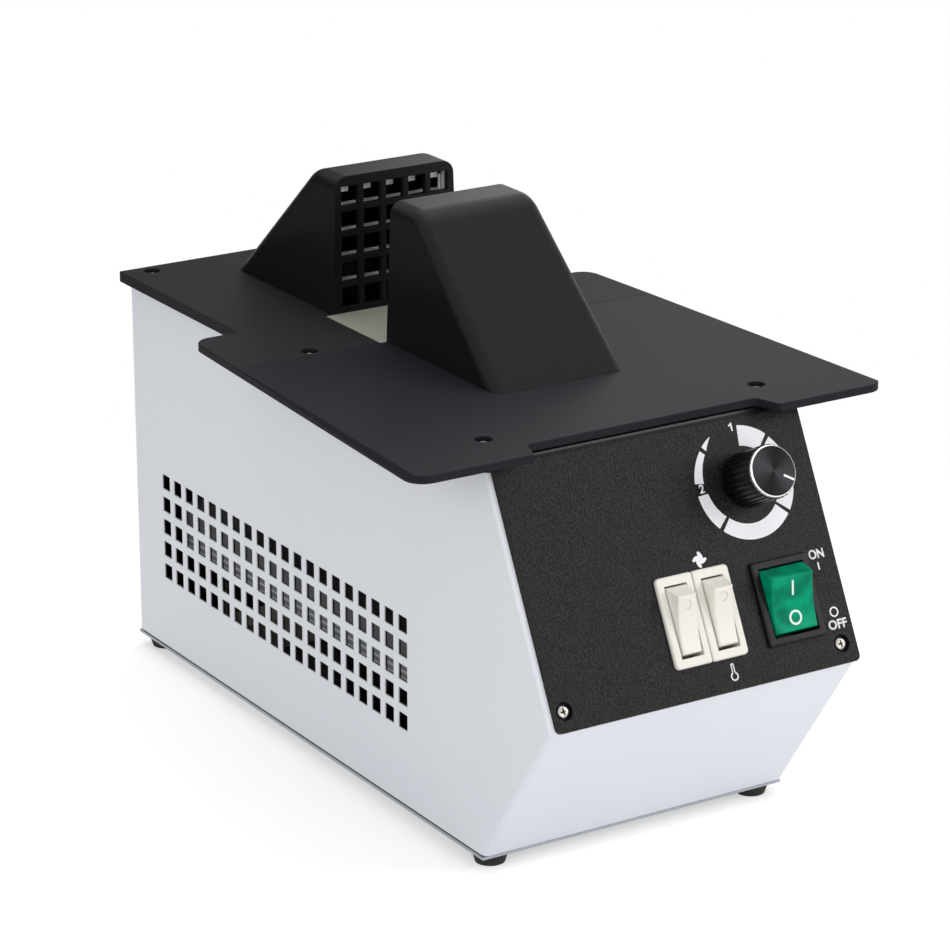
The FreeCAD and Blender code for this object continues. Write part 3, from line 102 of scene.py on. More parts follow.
def skin(tree, shader, place, grain, depth, strength, detail=2.0, edge=0.0):
    """A fine uneven skin, its hills a grain apart, in millimetres; returns the noise that raised it.

    Most real skins are too fine to show from the camera, so a grain is as coarse as it needs to show.
    """
    hills = add(tree, "ShaderNodeTexNoise", {"Vector": place, "Scale": 1 / (grain * MM), "Detail": detail})
    relief(tree, shader, hills.outputs[0], depth, strength, edge)
    return hills.outputs[0]


def boxed(tree, place, low, high):
    """1 where a point lies between two corners, given in millimetres, and 0 outside."""
    centre = [(a + b) / 2 * MM for a, b in zip(low, high)]
    half = [(b - a) / 2 * MM for a, b in zip(low, high)]
    away = add(tree, "ShaderNodeVectorMath", {0: place, 1: centre}, operation="SUBTRACT")
    size = add(tree, "ShaderNodeVectorMath", {0: away.outputs[0]}, operation="ABSOLUTE")
    past = add(tree, "ShaderNodeVectorMath", {0: size.outputs[0], 1: half}, operation="SUBTRACT")
    axes = add(tree, "ShaderNodeSeparateXYZ", {0: past.outputs[0]})
    wide = add(tree, "ShaderNodeMath", {0: axes.outputs[0], 1: axes.outputs[1]}, operation="MAXIMUM")
    most = add(tree, "ShaderNodeMath", {0: wide.outputs[0], 1: axes.outputs[2]}, operation="MAXIMUM")
    return add(tree, "ShaderNodeMath", {0: most.outputs[0], 1: 0.0}, operation="LESS_THAN").outputs[0]


def wear(material, *names):
    """Gives CAD pieces a material in every slot."""
    for name in names:
        for slot in nodes[name].material_slots:
            slot.material = material


def span(name):
    """Both corners of a CAD piece's box, in millimetres."""
    return [Vector(corner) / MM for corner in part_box(name)]


pan_low, pan_high = span("base_pan")
SHELL_TOP = span("housing")[1].z
BEYOND = 300.0             # further out than any piece reaches
LIP_HEIGHT = 1.3           # of the pan's lip, from its underside
VENT_EDGE_LIT = 0.45           # how far into the cut edge of a vent the coat stays white; deeper in, the edge has painted shade
SHADE_FRONT, SHADE_BACK = 1.35, 1.85    # from the outer faces to where the painted shade inside starts
SHADE_FLOOR, SHADE_TOP = 0.9, 0.2
JOINT_SHADE_RUN = (-6.45, 2.55)   # of the painted shade in the joint under the shelf, from the pan's front edge
JOINT_SHADE_DROP, JOINT_SHADE_LAP = 3.7, 0.3
side = pan_high.x - VENT_EDGE_LIT

# Powder coat: a satin white with a faint orange peel, a little over a millimetre from hill to hill, that
# clouds very slightly over a hand's width. On the pan's lip it is painted grey, as shade under the sides.
white_coat, tree, shader, place = finish("powder_coated_steel_white", "#E4E7EE", roughness=0.42)
skin(tree, shader, place, grain=1.3, depth=0.03, strength=0.35, edge=0.5)
cloud = add(tree, "ShaderNodeTexNoise", {"Vector": place, "Scale": 1 / (60 * MM), "Detail": 1.0})
tint(tree, shader, cloud.outputs[0], "#E8EBF1")
# Painted shade: the pan's lip goes grey below the housing's sides.
lip_shade = boxed(tree, place, (-BEYOND, -BEYOND, -BEYOND), (BEYOND, BEYOND, pan_low.z + LIP_HEIGHT))
tint(tree, shader, lip_shade, "#ABB1B7")
# Painted shade: near black inside the shell and deep in the cut edges of the vents.
inside_shade = boxed(tree, place, (-side, pan_low.y + SHADE_FRONT, pan_low.z + SHADE_FLOOR),
               (side, pan_high.y - SHADE_BACK, SHELL_TOP - SHADE_TOP))
# Painted shade: a near black strip of the joint under the shelf, above the panel.
joint_shade = boxed(tree, place, (-side, pan_low.y + JOINT_SHADE_RUN[0], SHELL_TOP - JOINT_SHADE_DROP),
              (side, pan_low.y + JOINT_SHADE_RUN[1], SHELL_TOP + JOINT_SHADE_LAP))
painted_shade = add(tree, "ShaderNodeMath", {0: inside_shade, 1: joint_shade}, operation="MAXIMUM")
tint(tree, shader, painted_shade.outputs[0], "#17181A")
wear(white_coat, "housing", "base_pan", "back_panel")

# ---------------------------------------------------------------- feet
# Four small tapered feet of moulded rubber, each held up against the pan by a screw from below. They keep
# the pan off the counter.

# Moulded rubber: no shine at all, and dust in its open pores makes it patchy grey.
rubber, tree, shader, place = finish("moulded_rubber", "#101010", roughness=0.85)
pores = skin(tree, shader, place, grain=0.5, depth=0.05, strength=0.5, detail=3.0)
tint(tree, shader, pores, "#1D1D1C")
wear(rubber, "foot")

# ---------------------------------------------------------------- blower and ducts
# A squirrel-cage blower stands in a saddle on the pan, with its motor beside it on the same shaft. It blows
# up through a heat shield on four posts into the plenum, and two stacks lead the air from there to the
# hoods. The ducts and the wheel are folded and pressed from galvanised sheet.

# Galvanised sheet: dull grey metal in paler and darker spangles some 7 mm across.
zinc, tree, shader, place = finish("galvanised_sheet", "#6C7073", metallic=1.0, roughness=0.42)
spangle = add(tree, "ShaderNodeTexVoronoi", {"Vector": place, "Scale": 1 / (7 * MM)})
tint(tree, shader, spangle.outputs["Distance"], "#94989B")
wear(zinc, "blower_scroll", "blower_saddle", "impeller", "plenum", "front_stack", "rear_stack")

# The same sheet close to the hot duct, lighter and duller. Pale and grey lines are painted light and shade
# of fine ribs that the plain sheet lacks, and an even dark grey above them is painted shade.
RIB_PITCH = 3.1
SHADED_BAND = (61.0, 66.0)    # heights over which the painted shade above the ribs sets in
shield_light_and_shade, tree, shader, place = finish("galvanised_sheet_painted_light_and_shade", "#8C8E90", metallic=0.3, roughness=0.5)
height = add(tree, "ShaderNodeSeparateXYZ", {0: place})
rib_phase = add(tree, "ShaderNodeMath", {0: height.outputs[2], 1: math.tau / (RIB_PITCH * MM)},
           operation="MULTIPLY")
rib_light = add(tree, "ShaderNodeMath", {0: rib_phase.outputs[0]}, operation="SINE")
tint(tree, shader, rib_light.outputs[0], "#E2E4E6")
shaded_top = add(tree, "ShaderNodeMapRange", {"Value": height.outputs[2], "From Min": SHADED_BAND[0] * MM,
               "From Max": SHADED_BAND[1] * MM})
tint(tree, shader, shaded_top.outputs[0], "#6E6F70")
wear(shield_light_and_shade, "heat_shield")

# Zinc-plated can of the motor: bright grey, with the soft bands of the laminations that it is pressed over.
motor_can, tree, shader, place = finish("zinc_plated_motor_can", "#8E9296", metallic=1.0, roughness=0.35)
lamination = add(tree, "ShaderNodeTexWave", {"Vector": place, "Scale": 1 / (8 * MM), "Distortion": 0.3},
                 bands_direction="X")
relief(tree, shader, lamination.outputs[0], depth=0.05, strength=0.6)
wear(motor_can, "blower_motor")

# Ground steel: sharp, clear highlights that the fine grinding breaks up a little.
axle, tree, shader, place = finish("ground_steel", "#B4B5B6", metallic=1.0, roughness=0.25)
skin(tree, shader, place, grain=1.5, depth=0.02, strength=0.3)
wear(axle, "motor_shaft", "shield_post", "knob_shaft")

# Stamped brass: warm yellow with browner tarnish in blots.
brass, tree, shader, place = finish("stamped_brass", "#B08A44", metallic=1.0, roughness=0.3)
tarnish = add(tree, "ShaderNodeTexNoise", {"Vector": place, "Scale": 1 / (3 * MM), "Detail": 3.0})
tint(tree, shader, tarnish.outputs[0], "#D8B56C")
wear(brass, "motor_bearing", "inlet_pin", "main_terminals", "heat_terminals", "air_terminals")

# ---------------------------------------------------------------- heaters
# Two mica boards stand across the inside of each stack, with four coils of resistance wire strung between
# them. The wire is wound on a rod in even turns and its ends are hooked into the boards.

# Mica board: pale brown flakes pressed together, with a slight sheen.
mica, tree, shader, place = finish("mica_board", "#A1875A", roughness=0.45)
flake = add(tree, "ShaderNodeTexVoronoi", {"Vector": place, "Scale": 1 / (2.5 * MM)})
tint(tree, shader, flake.outputs["Distance"], "#CDB98B")
wear(mica, "front_heater_boards", "rear_heater_boards")

# Resistance wire: metal under a brown-grey scale from glowing.
wire, tree, shader, place = finish("resistance_wire", "#57504B", metallic=1.0, roughness=0.4)
scale = add(tree, "ShaderNodeTexNoise", {"Vector": place, "Scale": 1 / (2 * MM), "Detail": 2.0})
tint(tree, shader, scale.outputs[0], "#8D8885")


def new_tree(name, **sockets):
    """A Geometry Nodes tree with its named inputs and one geometry output."""
    made = bpy.data.node_groups.new(name, "GeometryNodeTree")
    made.interface.new_socket("Geometry", in_out="INPUT", socket_type="NodeSocketGeometry")
    made.interface.new_socket("Geometry", in_out="OUTPUT", socket_type="NodeSocketGeometry")
    for label, kind in sockets.items():
        made.interface.new_socket(label, in_out="INPUT", socket_type="NodeSocket" + kind)
    return made, add(made, "NodeGroupInput").outputs


def close_tree(tree, given, geometry):
    """Ends a tree: its instances made real, then its material."""
    real = add(tree, "GeometryNodeRealizeInstances", {"Geometry": geometry})
    dressed = add(tree, "GeometryNodeSetMaterial", {"Geometry": real.outputs[0],
                  "Material": given["Material"]})
    add(tree, "NodeGroupOutput", {"Geometry": dressed.outputs[0]})


def stand(name, data):
    """Puts a mesh, lamp or camera into the scene as an object at the origin."""
    made = bpy.data.objects.new(name, data)
    bpy.context.scene.collection.objects.link(made)
    return made


def grow(name, points, tree, **values):
    """Runs a tree on a set of points and keeps the result as a plain mesh with one material."""
    seed = bpy.data.meshes.new(name)
    seed.from_pydata([tuple(point) for point in points], [], [])
    made = stand(name, seed)
    modifier = made.modifiers.new("shape", "NODES")
    modifier.node_group = tree
    for socket in tree.interface.items_tree:
        if socket.in_out == "INPUT" and socket.name in values:
            modifier[socket.identifier] = values[socket.name]
    ready = made.evaluated_get(bpy.context.evaluated_depsgraph_get())
    made.data = bpy.data.meshes.new_from_object(ready)
    made.modifiers.clear()
    made.data.materials.clear()
    made.data.materials.append(values["Material"])
    for face in made.data.polygons:
        face.material_index = 0
    return made


coil, given = new_tree("heater_coil", Radius="Float", Length="Float", Turns="Float", Wire="Float",
                       Material="Material")
helix = add(coil, "GeometryNodeCurveSpiral", {"Resolution": 14, "Rotations": given["Turns"],
            "Start Radius": given["Radius"], "End Radius": given["Radius"], "Height": given["Length"]})
section = add(coil, "GeometryNodeCurvePrimitiveCircle", {"Resolution": 6, "Radius": given["Wire"]})
strand = add(coil, "GeometryNodeCurveToMesh", {"Curve": helix.outputs[0],
             "Profile Curve": section.outputs[0], "Fill Caps": True})
laid = add(coil, "GeometryNodeTransform", {"Geometry": strand.outputs[0], "Rotation": (-math.pi / 2, 0, 0)})
row = add(coil, "GeometryNodeInstanceOnPoints", {"Points": given["Geometry"], "Instance": laid.outputs[0]})
close_tree(coil, given, row.outputs[0])

COIL_TURNS = 26.0
WIRE_RADIUS = 0.4
COIL_SLACK = 0.05          # between the wire and the coil's outer size
COIL_PLACES = (-15, -5, 5, 15)
for end in ("front", "rear"):
    node = f"{end}_heater_coils"
    low, high = span(node)
    middle = (low.z + high.z) / 2
    starts = [Vector((x, low.y + WIRE_RADIUS, middle)) * MM for x in COIL_PLACES]
    coils = grow(f"{end}_heater_wire", starts, coil, Turns=COIL_TURNS, Wire=WIRE_RADIUS * MM,
                 Radius=(high.z - middle - WIRE_RADIUS - COIL_SLACK) * MM,
                 Length=(high.y - low.y - 2 * WIRE_RADIUS) * MM, Material=wire)
    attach(coils, "case")
    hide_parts(node)

# ---------------------------------------------------------------- electrical fittings
# The potentiometer hangs behind the panel by its bush, the thermal cut-out sits on the plenum's side, the
# mains inlet in the back panel and the terminal block on the pan beside it. All but the block are nylon.

# Glass-filled nylon: matt black with a slightly mottled skin.
nylon, tree, shader, place = finish("moulded_nylon_black", "#1A1A1B", roughness=0.5)
skin(tree, shader, place, grain=0.6, depth=0.02, strength=0.4)
wear(nylon, "potentiometer", "thermal_cutout", "power_inlet")

# Steatite: a dense cream ceramic with the soft shine of a fired face.
block, tree, shader, place = finish("steatite_block", "#E6E2D6", roughness=0.35)
skin(tree, shader, place, grain=0.8, depth=0.02, strength=0.4)
wear(block, "terminal_block")

# ---------------------------------------------------------------- top plates and floor
# Two thick steel plates close the top, held by sunk screws: the rear one has wings beside the gap, the
# front one is a shelf with a notch. A heat-resistant board lies flush between the two hoods.

# Powder coat with fine sand in it: near black and matt, with hardly any mirror image. The rear plate's coat
# is coarser and shines a little more.
black_coat, tree, shader, place = finish("powder_coated_steel_black", "#17171D", roughness=0.6,
                                         specular_ior_level=0.15)
skin(tree, shader, place, grain=0.6, depth=0.05, strength=0.5, detail=3.0, edge=0.4)
wear(black_coat, "front_plate")
rear_coat, tree, shader, place = finish("powder_coated_steel_charcoal", "#16161B", roughness=0.66,
                                        specular_ior_level=0.2)
skin(tree, shader, place, grain=0.9, depth=0.09, strength=0.6, detail=3.0, edge=0.4)
wear(rear_coat, "rear_plate")

# Calcium silicate board, roughened by its fibres: a cream darkened to grey as painted shade between the
# hoods.
cream_board, tree, shader, place = finish("calcium_silicate_board", "#969A8C", roughness=0.7)
skin(tree, shader, place, grain=1.2, depth=0.05, strength=0.4, detail=3.0)
wear(cream_board, "gap_floor")

# ---------------------------------------------------------------- hoods
# Two moulded hoods, screwed on from below, face each other with a grille of five by five openings. Behind
# each grille a folded sheet liner turns the air, and a guard of flat strips is clipped into its mouth: one
# strip behind each bar, between two posts, and a rail of tabs on top.

# Phenolic moulding from a spark-eroded tool: black, with a fine even grain that spreads its highlights.
hood_plastic, tree, shader, place = finish("moulded_phenolic_black", "#0B0B0D", roughness=0.42,
                                           specular_ior_level=0.16)
spark = skin(tree, shader, place, grain=0.7, depth=0.06, strength=0.5, detail=3.0, edge=0.5)
tint(tree, shader, spark, "#151517")
wear(hood_plastic, "front_hood", "rear_hood")

LIT_MOUTH_DEPTH = 4.6          # how far behind the grilles the sheet is painted pale, as lit
hood_foot = span("rear_hood")[0].z
grille_at = {"front": span("front_hood")[1].y, "rear": span("rear_hood")[0].y}

# Zinc-coated sheet: painted shade, near black and mottled, inside; painted light, pale and plain, at the
# mouth.
liner_light_and_shade, tree, shader, place = finish("zinc_sheet_painted_light_and_shade", "#0A0A0A", roughness=0.45)
shade_mottle = add(tree, "ShaderNodeTexNoise", {"Vector": place, "Scale": 1 / (5 * MM), "Detail": 2.0})
tint(tree, shader, shade_mottle.outputs[0], "#1C1C1C")
lit_mouth = boxed(tree, place, (-BEYOND, grille_at["front"] - LIT_MOUTH_DEPTH, -BEYOND),
              (BEYOND, grille_at["rear"] + LIT_MOUTH_DEPTH, BEYOND))
tint(tree, shader, lit_mouth, "#D6D9D2")
wear(liner_light_and_shade, "front_liner", "rear_liner")

# Zinc strip: pale metal with a faint bloom, made almost white as painted highlight between the black bars.
guard_zinc_highlight, tree, shader, place = finish("zinc_strip_painted_highlight", "#E8EAE6", roughness=0.4)
bloom = add(tree, "ShaderNodeTexNoise", {"Vector": place, "Scale": 1 / (5 * MM), "Detail": 2.0})
tint(tree, shader, bloom.outputs[0], "#FFFFFF")

guard, given = new_tree("grille_guard", Width="Float", Depth="Float", Sheet="Float", Pitch="Float",
                        Count="Int", Rail="Float", Lip="Float", Tab="Float", Post="Float", Middle="Float",
                        Material="Material")
flat = add(guard, "ShaderNodeCombineXYZ", {0: given["Width"], 1: given["Depth"], 2: given["Sheet"]})
strip = add(guard, "GeometryNodeMeshCube", {"Size": flat.outputs[0]})
rise = add(guard, "ShaderNodeCombineXYZ", {2: given["Pitch"]})
ladder = add(guard, "GeometryNodeMeshLine", {"Count": given["Count"], "Offset": rise.outputs[0]})
rungs = add(guard, "GeometryNodeInstanceOnPoints", {"Points": ladder.outputs[0],
            "Instance": strip.outputs[0]})
tall = add(guard, "ShaderNodeMath", {0: given["Pitch"], 1: given["Count"]}, operation="MULTIPLY")
half_rail = add(guard, "ShaderNodeMath", {0: given["Rail"], 1: -0.5}, operation="MULTIPLY")
rail_at = add(guard, "ShaderNodeMath", {0: tall.outputs[0], 1: half_rail.outputs[0]}, operation="ADD")
up = add(guard, "ShaderNodeCombineXYZ", {2: rail_at.outputs[0]})
beam = add(guard, "ShaderNodeCombineXYZ", {0: given["Width"], 1: given["Sheet"], 2: given["Rail"]})
rail = add(guard, "GeometryNodeMeshCube", {"Size": beam.outputs[0]})
hung = add(guard, "GeometryNodeTransform", {"Geometry": rail.outputs[0], "Translation": up.outputs[0]})
small = add(guard, "ShaderNodeCombineXYZ", {0: given["Tab"], 1: given["Sheet"], 2: given["Lip"]})
tab = add(guard, "GeometryNodeMeshCube", {"Size": small.outputs[0]})
row_start = add(guard, "ShaderNodeMath", {0: tall.outputs[0], 1: -0.5}, operation="MULTIPLY")
half_lip = add(guard, "ShaderNodeMath", {0: given["Lip"], 1: -0.5}, operation="MULTIPLY")
lip_at = add(guard, "ShaderNodeMath", {0: rail_at.outputs[0], 1: half_lip.outputs[0]}, operation="ADD")
first = add(guard, "ShaderNodeCombineXYZ", {0: row_start.outputs[0], 2: lip_at.outputs[0]})
along = add(guard, "ShaderNodeCombineXYZ", {0: given["Pitch"]})
more = add(guard, "ShaderNodeMath", {0: given["Count"], 1: 1.0}, operation="ADD")
comb = add(guard, "GeometryNodeMeshLine", {"Count": more.outputs[0], "Start Location": first.outputs[0],
           "Offset": along.outputs[0]})
tabs = add(guard, "GeometryNodeInstanceOnPoints", {"Points": comb.outputs[0], "Instance": tab.outputs[0]})
upright = add(guard, "ShaderNodeCombineXYZ", {0: given["Post"], 1: given["Sheet"], 2: tall.outputs[0]})
post = add(guard, "GeometryNodeMeshCube", {"Size": upright.outputs[0]})
post_at = add(guard, "ShaderNodeMath", {0: tall.outputs[0], 1: given["Middle"]}, operation="MULTIPLY")
spread = add(guard, "ShaderNodeMath", {0: given["Width"], 1: given["Post"]}, operation="SUBTRACT")
left = add(guard, "ShaderNodeMath", {0: spread.outputs[0], 1: -0.5}, operation="MULTIPLY")
corner = add(guard, "ShaderNodeCombineXYZ", {0: left.outputs[0], 2: post_at.outputs[0]})
across = add(guard, "ShaderNodeCombineXYZ", {0: spread.outputs[0]})
ends = add(guard, "GeometryNodeMeshLine", {"Count": 2, "Start Location": corner.outputs[0],
           "Offset": across.outputs[0]})
posts = add(guard, "GeometryNodeInstanceOnPoints", {"Points": ends.outputs[0], "Instance": post.outputs[0]})
joined = add(guard, "GeometryNodeJoinGeometry", {"Geometry": hung.outputs[0]})
for part in (rungs, tabs, posts):
    guard.links.new(part.outputs[0], joined.inputs["Geometry"])
close_tree(guard, given, joined.outputs[0])

GUARD_STRIPS = 4
GUARD = {"Width": 50.4, "Depth": 4.4, "Sheet": 0.6, "Pitch": 10.8, "Rail": 1.0, "Lip": 5.0, "Tab": 4.0,
         "Post": 1.0}
POST_MIDDLE = 0.4          # how high the middle of a post stands, as a share of the guard's height
GUARD_RISE = 12.9          # of the lowest strip, above the plate
GUARD_SETBACK = 5.1        # behind the face of the grille
for end, way in (("front", -1), ("rear", 1)):
    strips = grow(f"{end}_grille_guard", [(0, 0, 0)], guard, Count=GUARD_STRIPS, Middle=POST_MIDDLE,
                  Material=guard_zinc_highlight, **{name: size * MM for name, size in GUARD.items()})
    place_at = Vector((0, grille_at[end] + way * GUARD_SETBACK, hood_foot + GUARD_RISE))
    strips.data.transform(Matrix.Translation(place_at * MM))
    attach(strips, "case")

# ---------------------------------------------------------------- control panel
# A heavy plate with a leather-grain face is screwed over the sloping front; its top edge, under the shelf,
# is painted near black as shade. Its marks are screen-printed: a band that widens round the knob in six
# strokes with its two numbers, ON and OFF with their bar and ring, a fan and a thermometer.
NOSE_REACH, NOSE_HEIGHT = 47.5, 74.0
NOSE = Vector((0, pan_low.y - NOSE_REACH, NOSE_HEIGHT))
LEAN = math.atan2(SHELL_TOP - NOSE_HEIGHT, NOSE_REACH)
SLOPE = Matrix.Translation(NOSE * MM) @ Matrix.Rotation(LEAN, 4, "X")
OUT = SLOPE.to_3x3() @ Vector((0, 0, 1))
PANEL_FACE = 2.4
PANEL_SHADE_EDGE = 1.3            # the painted shade on the panel's top edge, above and below the top of the housing
PANEL_SHADE_RUN = (-4.45, 2.55)

# Textured coat: small rounded cells with black valleys and greyer crowns, nearly without shine.
leather, tree, shader, place = finish("textured_panel_black", "#020202", roughness=0.45,
                                      specular_ior_level=0.14)
warp = add(tree, "ShaderNodeTexNoise", {"Vector": place, "Scale": 1 / (1.6 * MM), "Detail": 2.0})
shove = add(tree, "ShaderNodeVectorMath", {0: warp.outputs["Color"], "Scale": 0.9 * MM}, operation="SCALE")
bent = add(tree, "ShaderNodeVectorMath", {0: place, 1: shove.outputs[0]})
cells = add(tree, "ShaderNodeTexVoronoi", {"Vector": bent.outputs[0], "Scale": 1 / (0.95 * MM)},
            feature="SMOOTH_F1")
relief(tree, shader, cells.outputs["Distance"], depth=0.2, strength=0.8, edge=0.25)
grit = add(tree, "ShaderNodeTexNoise", {"Vector": place, "Scale": 1 / (0.7 * MM), "Detail": 2.0})
crowns = add(tree, "ShaderNodeMapRange", {"Value": grit.outputs[0], "From Min": 0.38, "From Max": 0.66})
tint(tree, shader, crowns.outputs[0], "#262625")
# Painted shade: the panel's top edge under the shelf goes near black.
panel_top_shade = boxed(tree, place, (-BEYOND, pan_low.y + PANEL_SHADE_RUN[0], SHELL_TOP - PANEL_SHADE_EDGE),
               (BEYOND, pan_low.y + PANEL_SHADE_RUN[1], SHELL_TOP + PANEL_SHADE_EDGE))
tint(tree, shader, panel_top_shade, "#010101")
wear(leather, "control_panel")

# Screen-print ink: a flat cool white, with the weave of the screen drawn coarser than it is, to show at all.
ink, tree, shader, place = finish("screen_print_ink_white", "#DCDEE3", roughness=0.45)
weave = skin(tree, shader, place, grain=0.5, depth=0.02, strength=0.3)
tint(tree, shader, weave, "#ECEDEF")

INK = 0.05                 # thickness of the ink
BOLDER = 0.03              # how much the letters' strokes are thickened, as a share of their height
MERGE = 1e-7               # metres within which two corners are one


def outline_piece(name, shapes, words, at, material, thick=INK):
    """Flat shapes and words, each given in millimetres, laid on a face and made solid."""
    mesh = bmesh.new()
    for loop in shapes:
        mesh.faces.new([mesh.verts.new((x * MM, y * MM, 0)) for x, y in loop])
    for text, (x, y), (wide, tall) in words:
        curve = bpy.data.curves.new(text, "FONT")
        curve.body = text
        curve.offset = BOLDER
        letter = bpy.data.objects.new(text, curve)
        flat = bpy.data.meshes.new_from_object(letter)
        corners = [vert.co for vert in flat.vertices]
        low = Vector([min(c[axis] for c in corners) for axis in (0, 1)])
        high = Vector([max(c[axis] for c in corners) for axis in (0, 1)])
        for vert in flat.vertices:
            vert.co = ((x + ((vert.co.x - low.x) / (high.x - low.x) - 0.5) * wide) * MM,
                       (y + ((vert.co.y - low.y) / (high.y - low.y) - 0.5) * tall) * MM, 0)
        mesh.from_mesh(flat)
        bpy.data.objects.remove(letter)
        bpy.data.curves.remove(curve)
        bpy.data.meshes.remove(flat)
    bmesh.ops.remove_doubles(mesh, verts=mesh.verts, dist=MERGE)
    bmesh.ops.recalc_face_normals(mesh, faces=mesh.faces)
    for face in mesh.faces:
        if face.normal.z < 0:
            face.normal_flip()
    raised = bmesh.ops.extrude_face_region(mesh, geom=mesh.faces[:])
    tops = [item for item in raised["geom"] if isinstance(item, bmesh.types.BMVert)]
    bmesh.ops.translate(mesh, verts=tops, vec=(0, 0, thick * MM))
    bmesh.ops.recalc_face_normals(mesh, faces=mesh.faces)
    mesh.transform(at)
    data = bpy.data.meshes.new(name)
    mesh.to_mesh(data)
    mesh.free()
    data.materials.append(material)
    return stand(name, data)


def clock(centre, radius, degrees):
    """Point at a clock angle, clockwise from twelve."""
    turn = math.radians(degrees)
    return centre[0] + radius * math.sin(turn), centre[1] + radius * math.cos(turn)


def band(centre, outer, inner, start, end, steps):
    """Closed loop of a curved stroke; inner gives its inner radius at an angle."""
    angles = [start + (end - start) * step / steps for step in range(steps + 1)]
    return ([clock(centre, outer, angle) for angle in angles]
            + [clock(centre, inner(angle), angle) for angle in reversed(angles)])


def ring(centre, outer, thick, steps=40):
    """Two half rings that make a letter-like O."""
    return [band(centre, outer, lambda angle: outer - thick, start, start + 180, steps // 2)
            for start in (0, 180)]


def bar(x, low, high, wide):
    """An upright stroke."""
    return [(x - wide / 2, low), (x + wide / 2, low), (x + wide / 2, high), (x - wide / 2, high)]


def band_inner(angle):
    """Inner radius of the dial's band, which widens anticlockwise, at a clock angle."""
    for (start, first), (end, last) in zip(BAND_INNER, BAND_INNER[1:]):
        if angle <= end:
            return first + (last - first) * (angle - start) / (end - start)
    return BAND_INNER[-1][1]


DIAL = (38.9, 77.1)
BAND_INNER = ((7, 14.5), (60, 14.8), (133, 15.6), (192, 16.1), (222, 16.3), (266, 17.7), (279, 18.6),
              (313, 20.1), (317, 20.2), (332, 22.6))
STROKES = ((7, 41.4, 22.6), (46, 128.7, 22.4), (133, 221.9, 22.3), (226.6, 266, 22.4), (278.6, 312.8, 22.7),
           (317.4, 331.8, 22.8))    # clock angles of each end, and the outer radius
STEP_ANGLE = 4
TWO = ("2", (19.0, 78.2), (2.3, 3.5))    # a word, its middle, and its width and height
ONE_AT = (38.8, 99.3)
ONE = ((0.1, -1.65), (0.8, -1.65), (0.8, 1.65), (0.3, 1.65), (-0.2, 1.15), (-0.9, 0.8), (-0.9, 0.2),
       (0.1, 0.65))
on_panel = SLOPE @ Matrix.Translation((0, 0, PANEL_FACE * MM))
strokes = [band(DIAL, outer, band_inner, start, end, max(4, round((end - start) / STEP_ANGLE)))
           for start, end, outer in STROKES]
strokes.append([(ONE_AT[0] + x, ONE_AT[1] + y) for x, y in ONE])
dial_print = outline_piece("dial_print", strokes, [TWO], on_panel, ink)
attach(dial_print, "case")

FAN = (10.0, 51.9)
FAN_SIZE = 0.92
BLADE = ((-8, 1.75), (-10, 3.0), (-3, 3.5), (8, 3.45), (24, 2.95), (45, 2.4), (65, 2.05), (78, 1.8))
pinwheel = [clock(FAN, FAN_SIZE * reach, quarter * 90 + turn)
            for quarter in range(4) for turn, reach in BLADE]
BULB = (12.7, 5.5)
BULB_OUTER, BULB_INNER = 1.75, 1.2
NECK = 22.0                # clock angle at which the bulb opens into the tube
TUBE_FOOT, TUBE_TOP = 7.0, 9.9
TUBE, TUBE_WALL = 0.52, 0.45   # half the tube's width, to the middle of its wall, and the wall
gauge = [band(BULB, BULB_OUTER, lambda angle: BULB_INNER, NECK, 360 - NECK, 30)]
gauge += [bar(BULB[0] + way * TUBE, TUBE_FOOT, TUBE_TOP, TUBE_WALL) for way in (-1, 1)]
gauge += [band((BULB[0], TUBE_TOP), TUBE + TUBE_WALL / 2, lambda angle: TUBE - TUBE_WALL / 2, -90, 90, 10)]
on_bar = bar(62.9, 37.8, 40.8, 0.65)
off_ring = ring((64.6, 20.6), 2.05, 0.6)
ON, OFF = ("ON", (63.1, 44.1), (7.2, 3.8)), ("OFF", (64.9, 15.7), (8.8, 3.8))
marks = outline_piece("switch_print", [pinwheel, *gauge, on_bar, *off_ring], [ON, OFF], on_panel, ink)
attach(marks, "case")

# ---------------------------------------------------------------- switches
# Snap-in rocker switches, injection moulded. The mains one has a translucent green lens with its bar and
# ring filled in white, in a black nylon frame; the two narrow ones are cream ABS in cream frames.

# Polycarbonate lens: clean green that clouds where the lamp housing behind it shows through.
green, tree, shader, place = finish("lens_polycarbonate_green", "#007356", roughness=0.25,
                                    specular_ior_level=0.08)
cloudy = add(tree, "ShaderNodeTexNoise", {"Vector": place, "Scale": 1 / (7 * MM), "Detail": 1.0})
murk = add(tree, "ShaderNodeMapRange", {"Value": cloudy.outputs[0], "From Min": 0.35, "From Max": 0.65})
tint(tree, shader, murk.outputs[0], "#009870")
relief(tree, shader, cloudy.outputs[0], depth=0.05, strength=0.3, edge=0.4)
wear(green, "main_rocker")

# Unfilled nylon from a polished tool: deep black with soft highlights along its edges.
frame_black, tree, shader, place = finish("moulded_nylon_gloss", "#0C0B0D", roughness=0.38,
                                          specular_ior_level=0.2)
skin(tree, shader, place, grain=0.6, depth=0.02, strength=0.3, edge=0.4)
wear(frame_black, "main_switch")

# ABS and nylon in cream: smooth and slightly waxy, the rockers a shade lighter than their frames.
cream, tree, shader, place = finish("moulded_abs_cream", "#E9E6DE", roughness=0.32, subsurface_weight=0.1,
                                    subsurface_scale=1 * MM)
skin(tree, shader, place, grain=1.0, depth=0.015, strength=0.3, edge=0.5)
wear(cream, "heat_rocker", "air_rocker")
bezel, tree, shader, place = finish("moulded_nylon_cream", "#E4E0D8", roughness=0.36)
skin(tree, shader, place, grain=1.0, depth=0.015, strength=0.3, edge=0.5)
wear(bezel, "heat_switch", "air_switch")

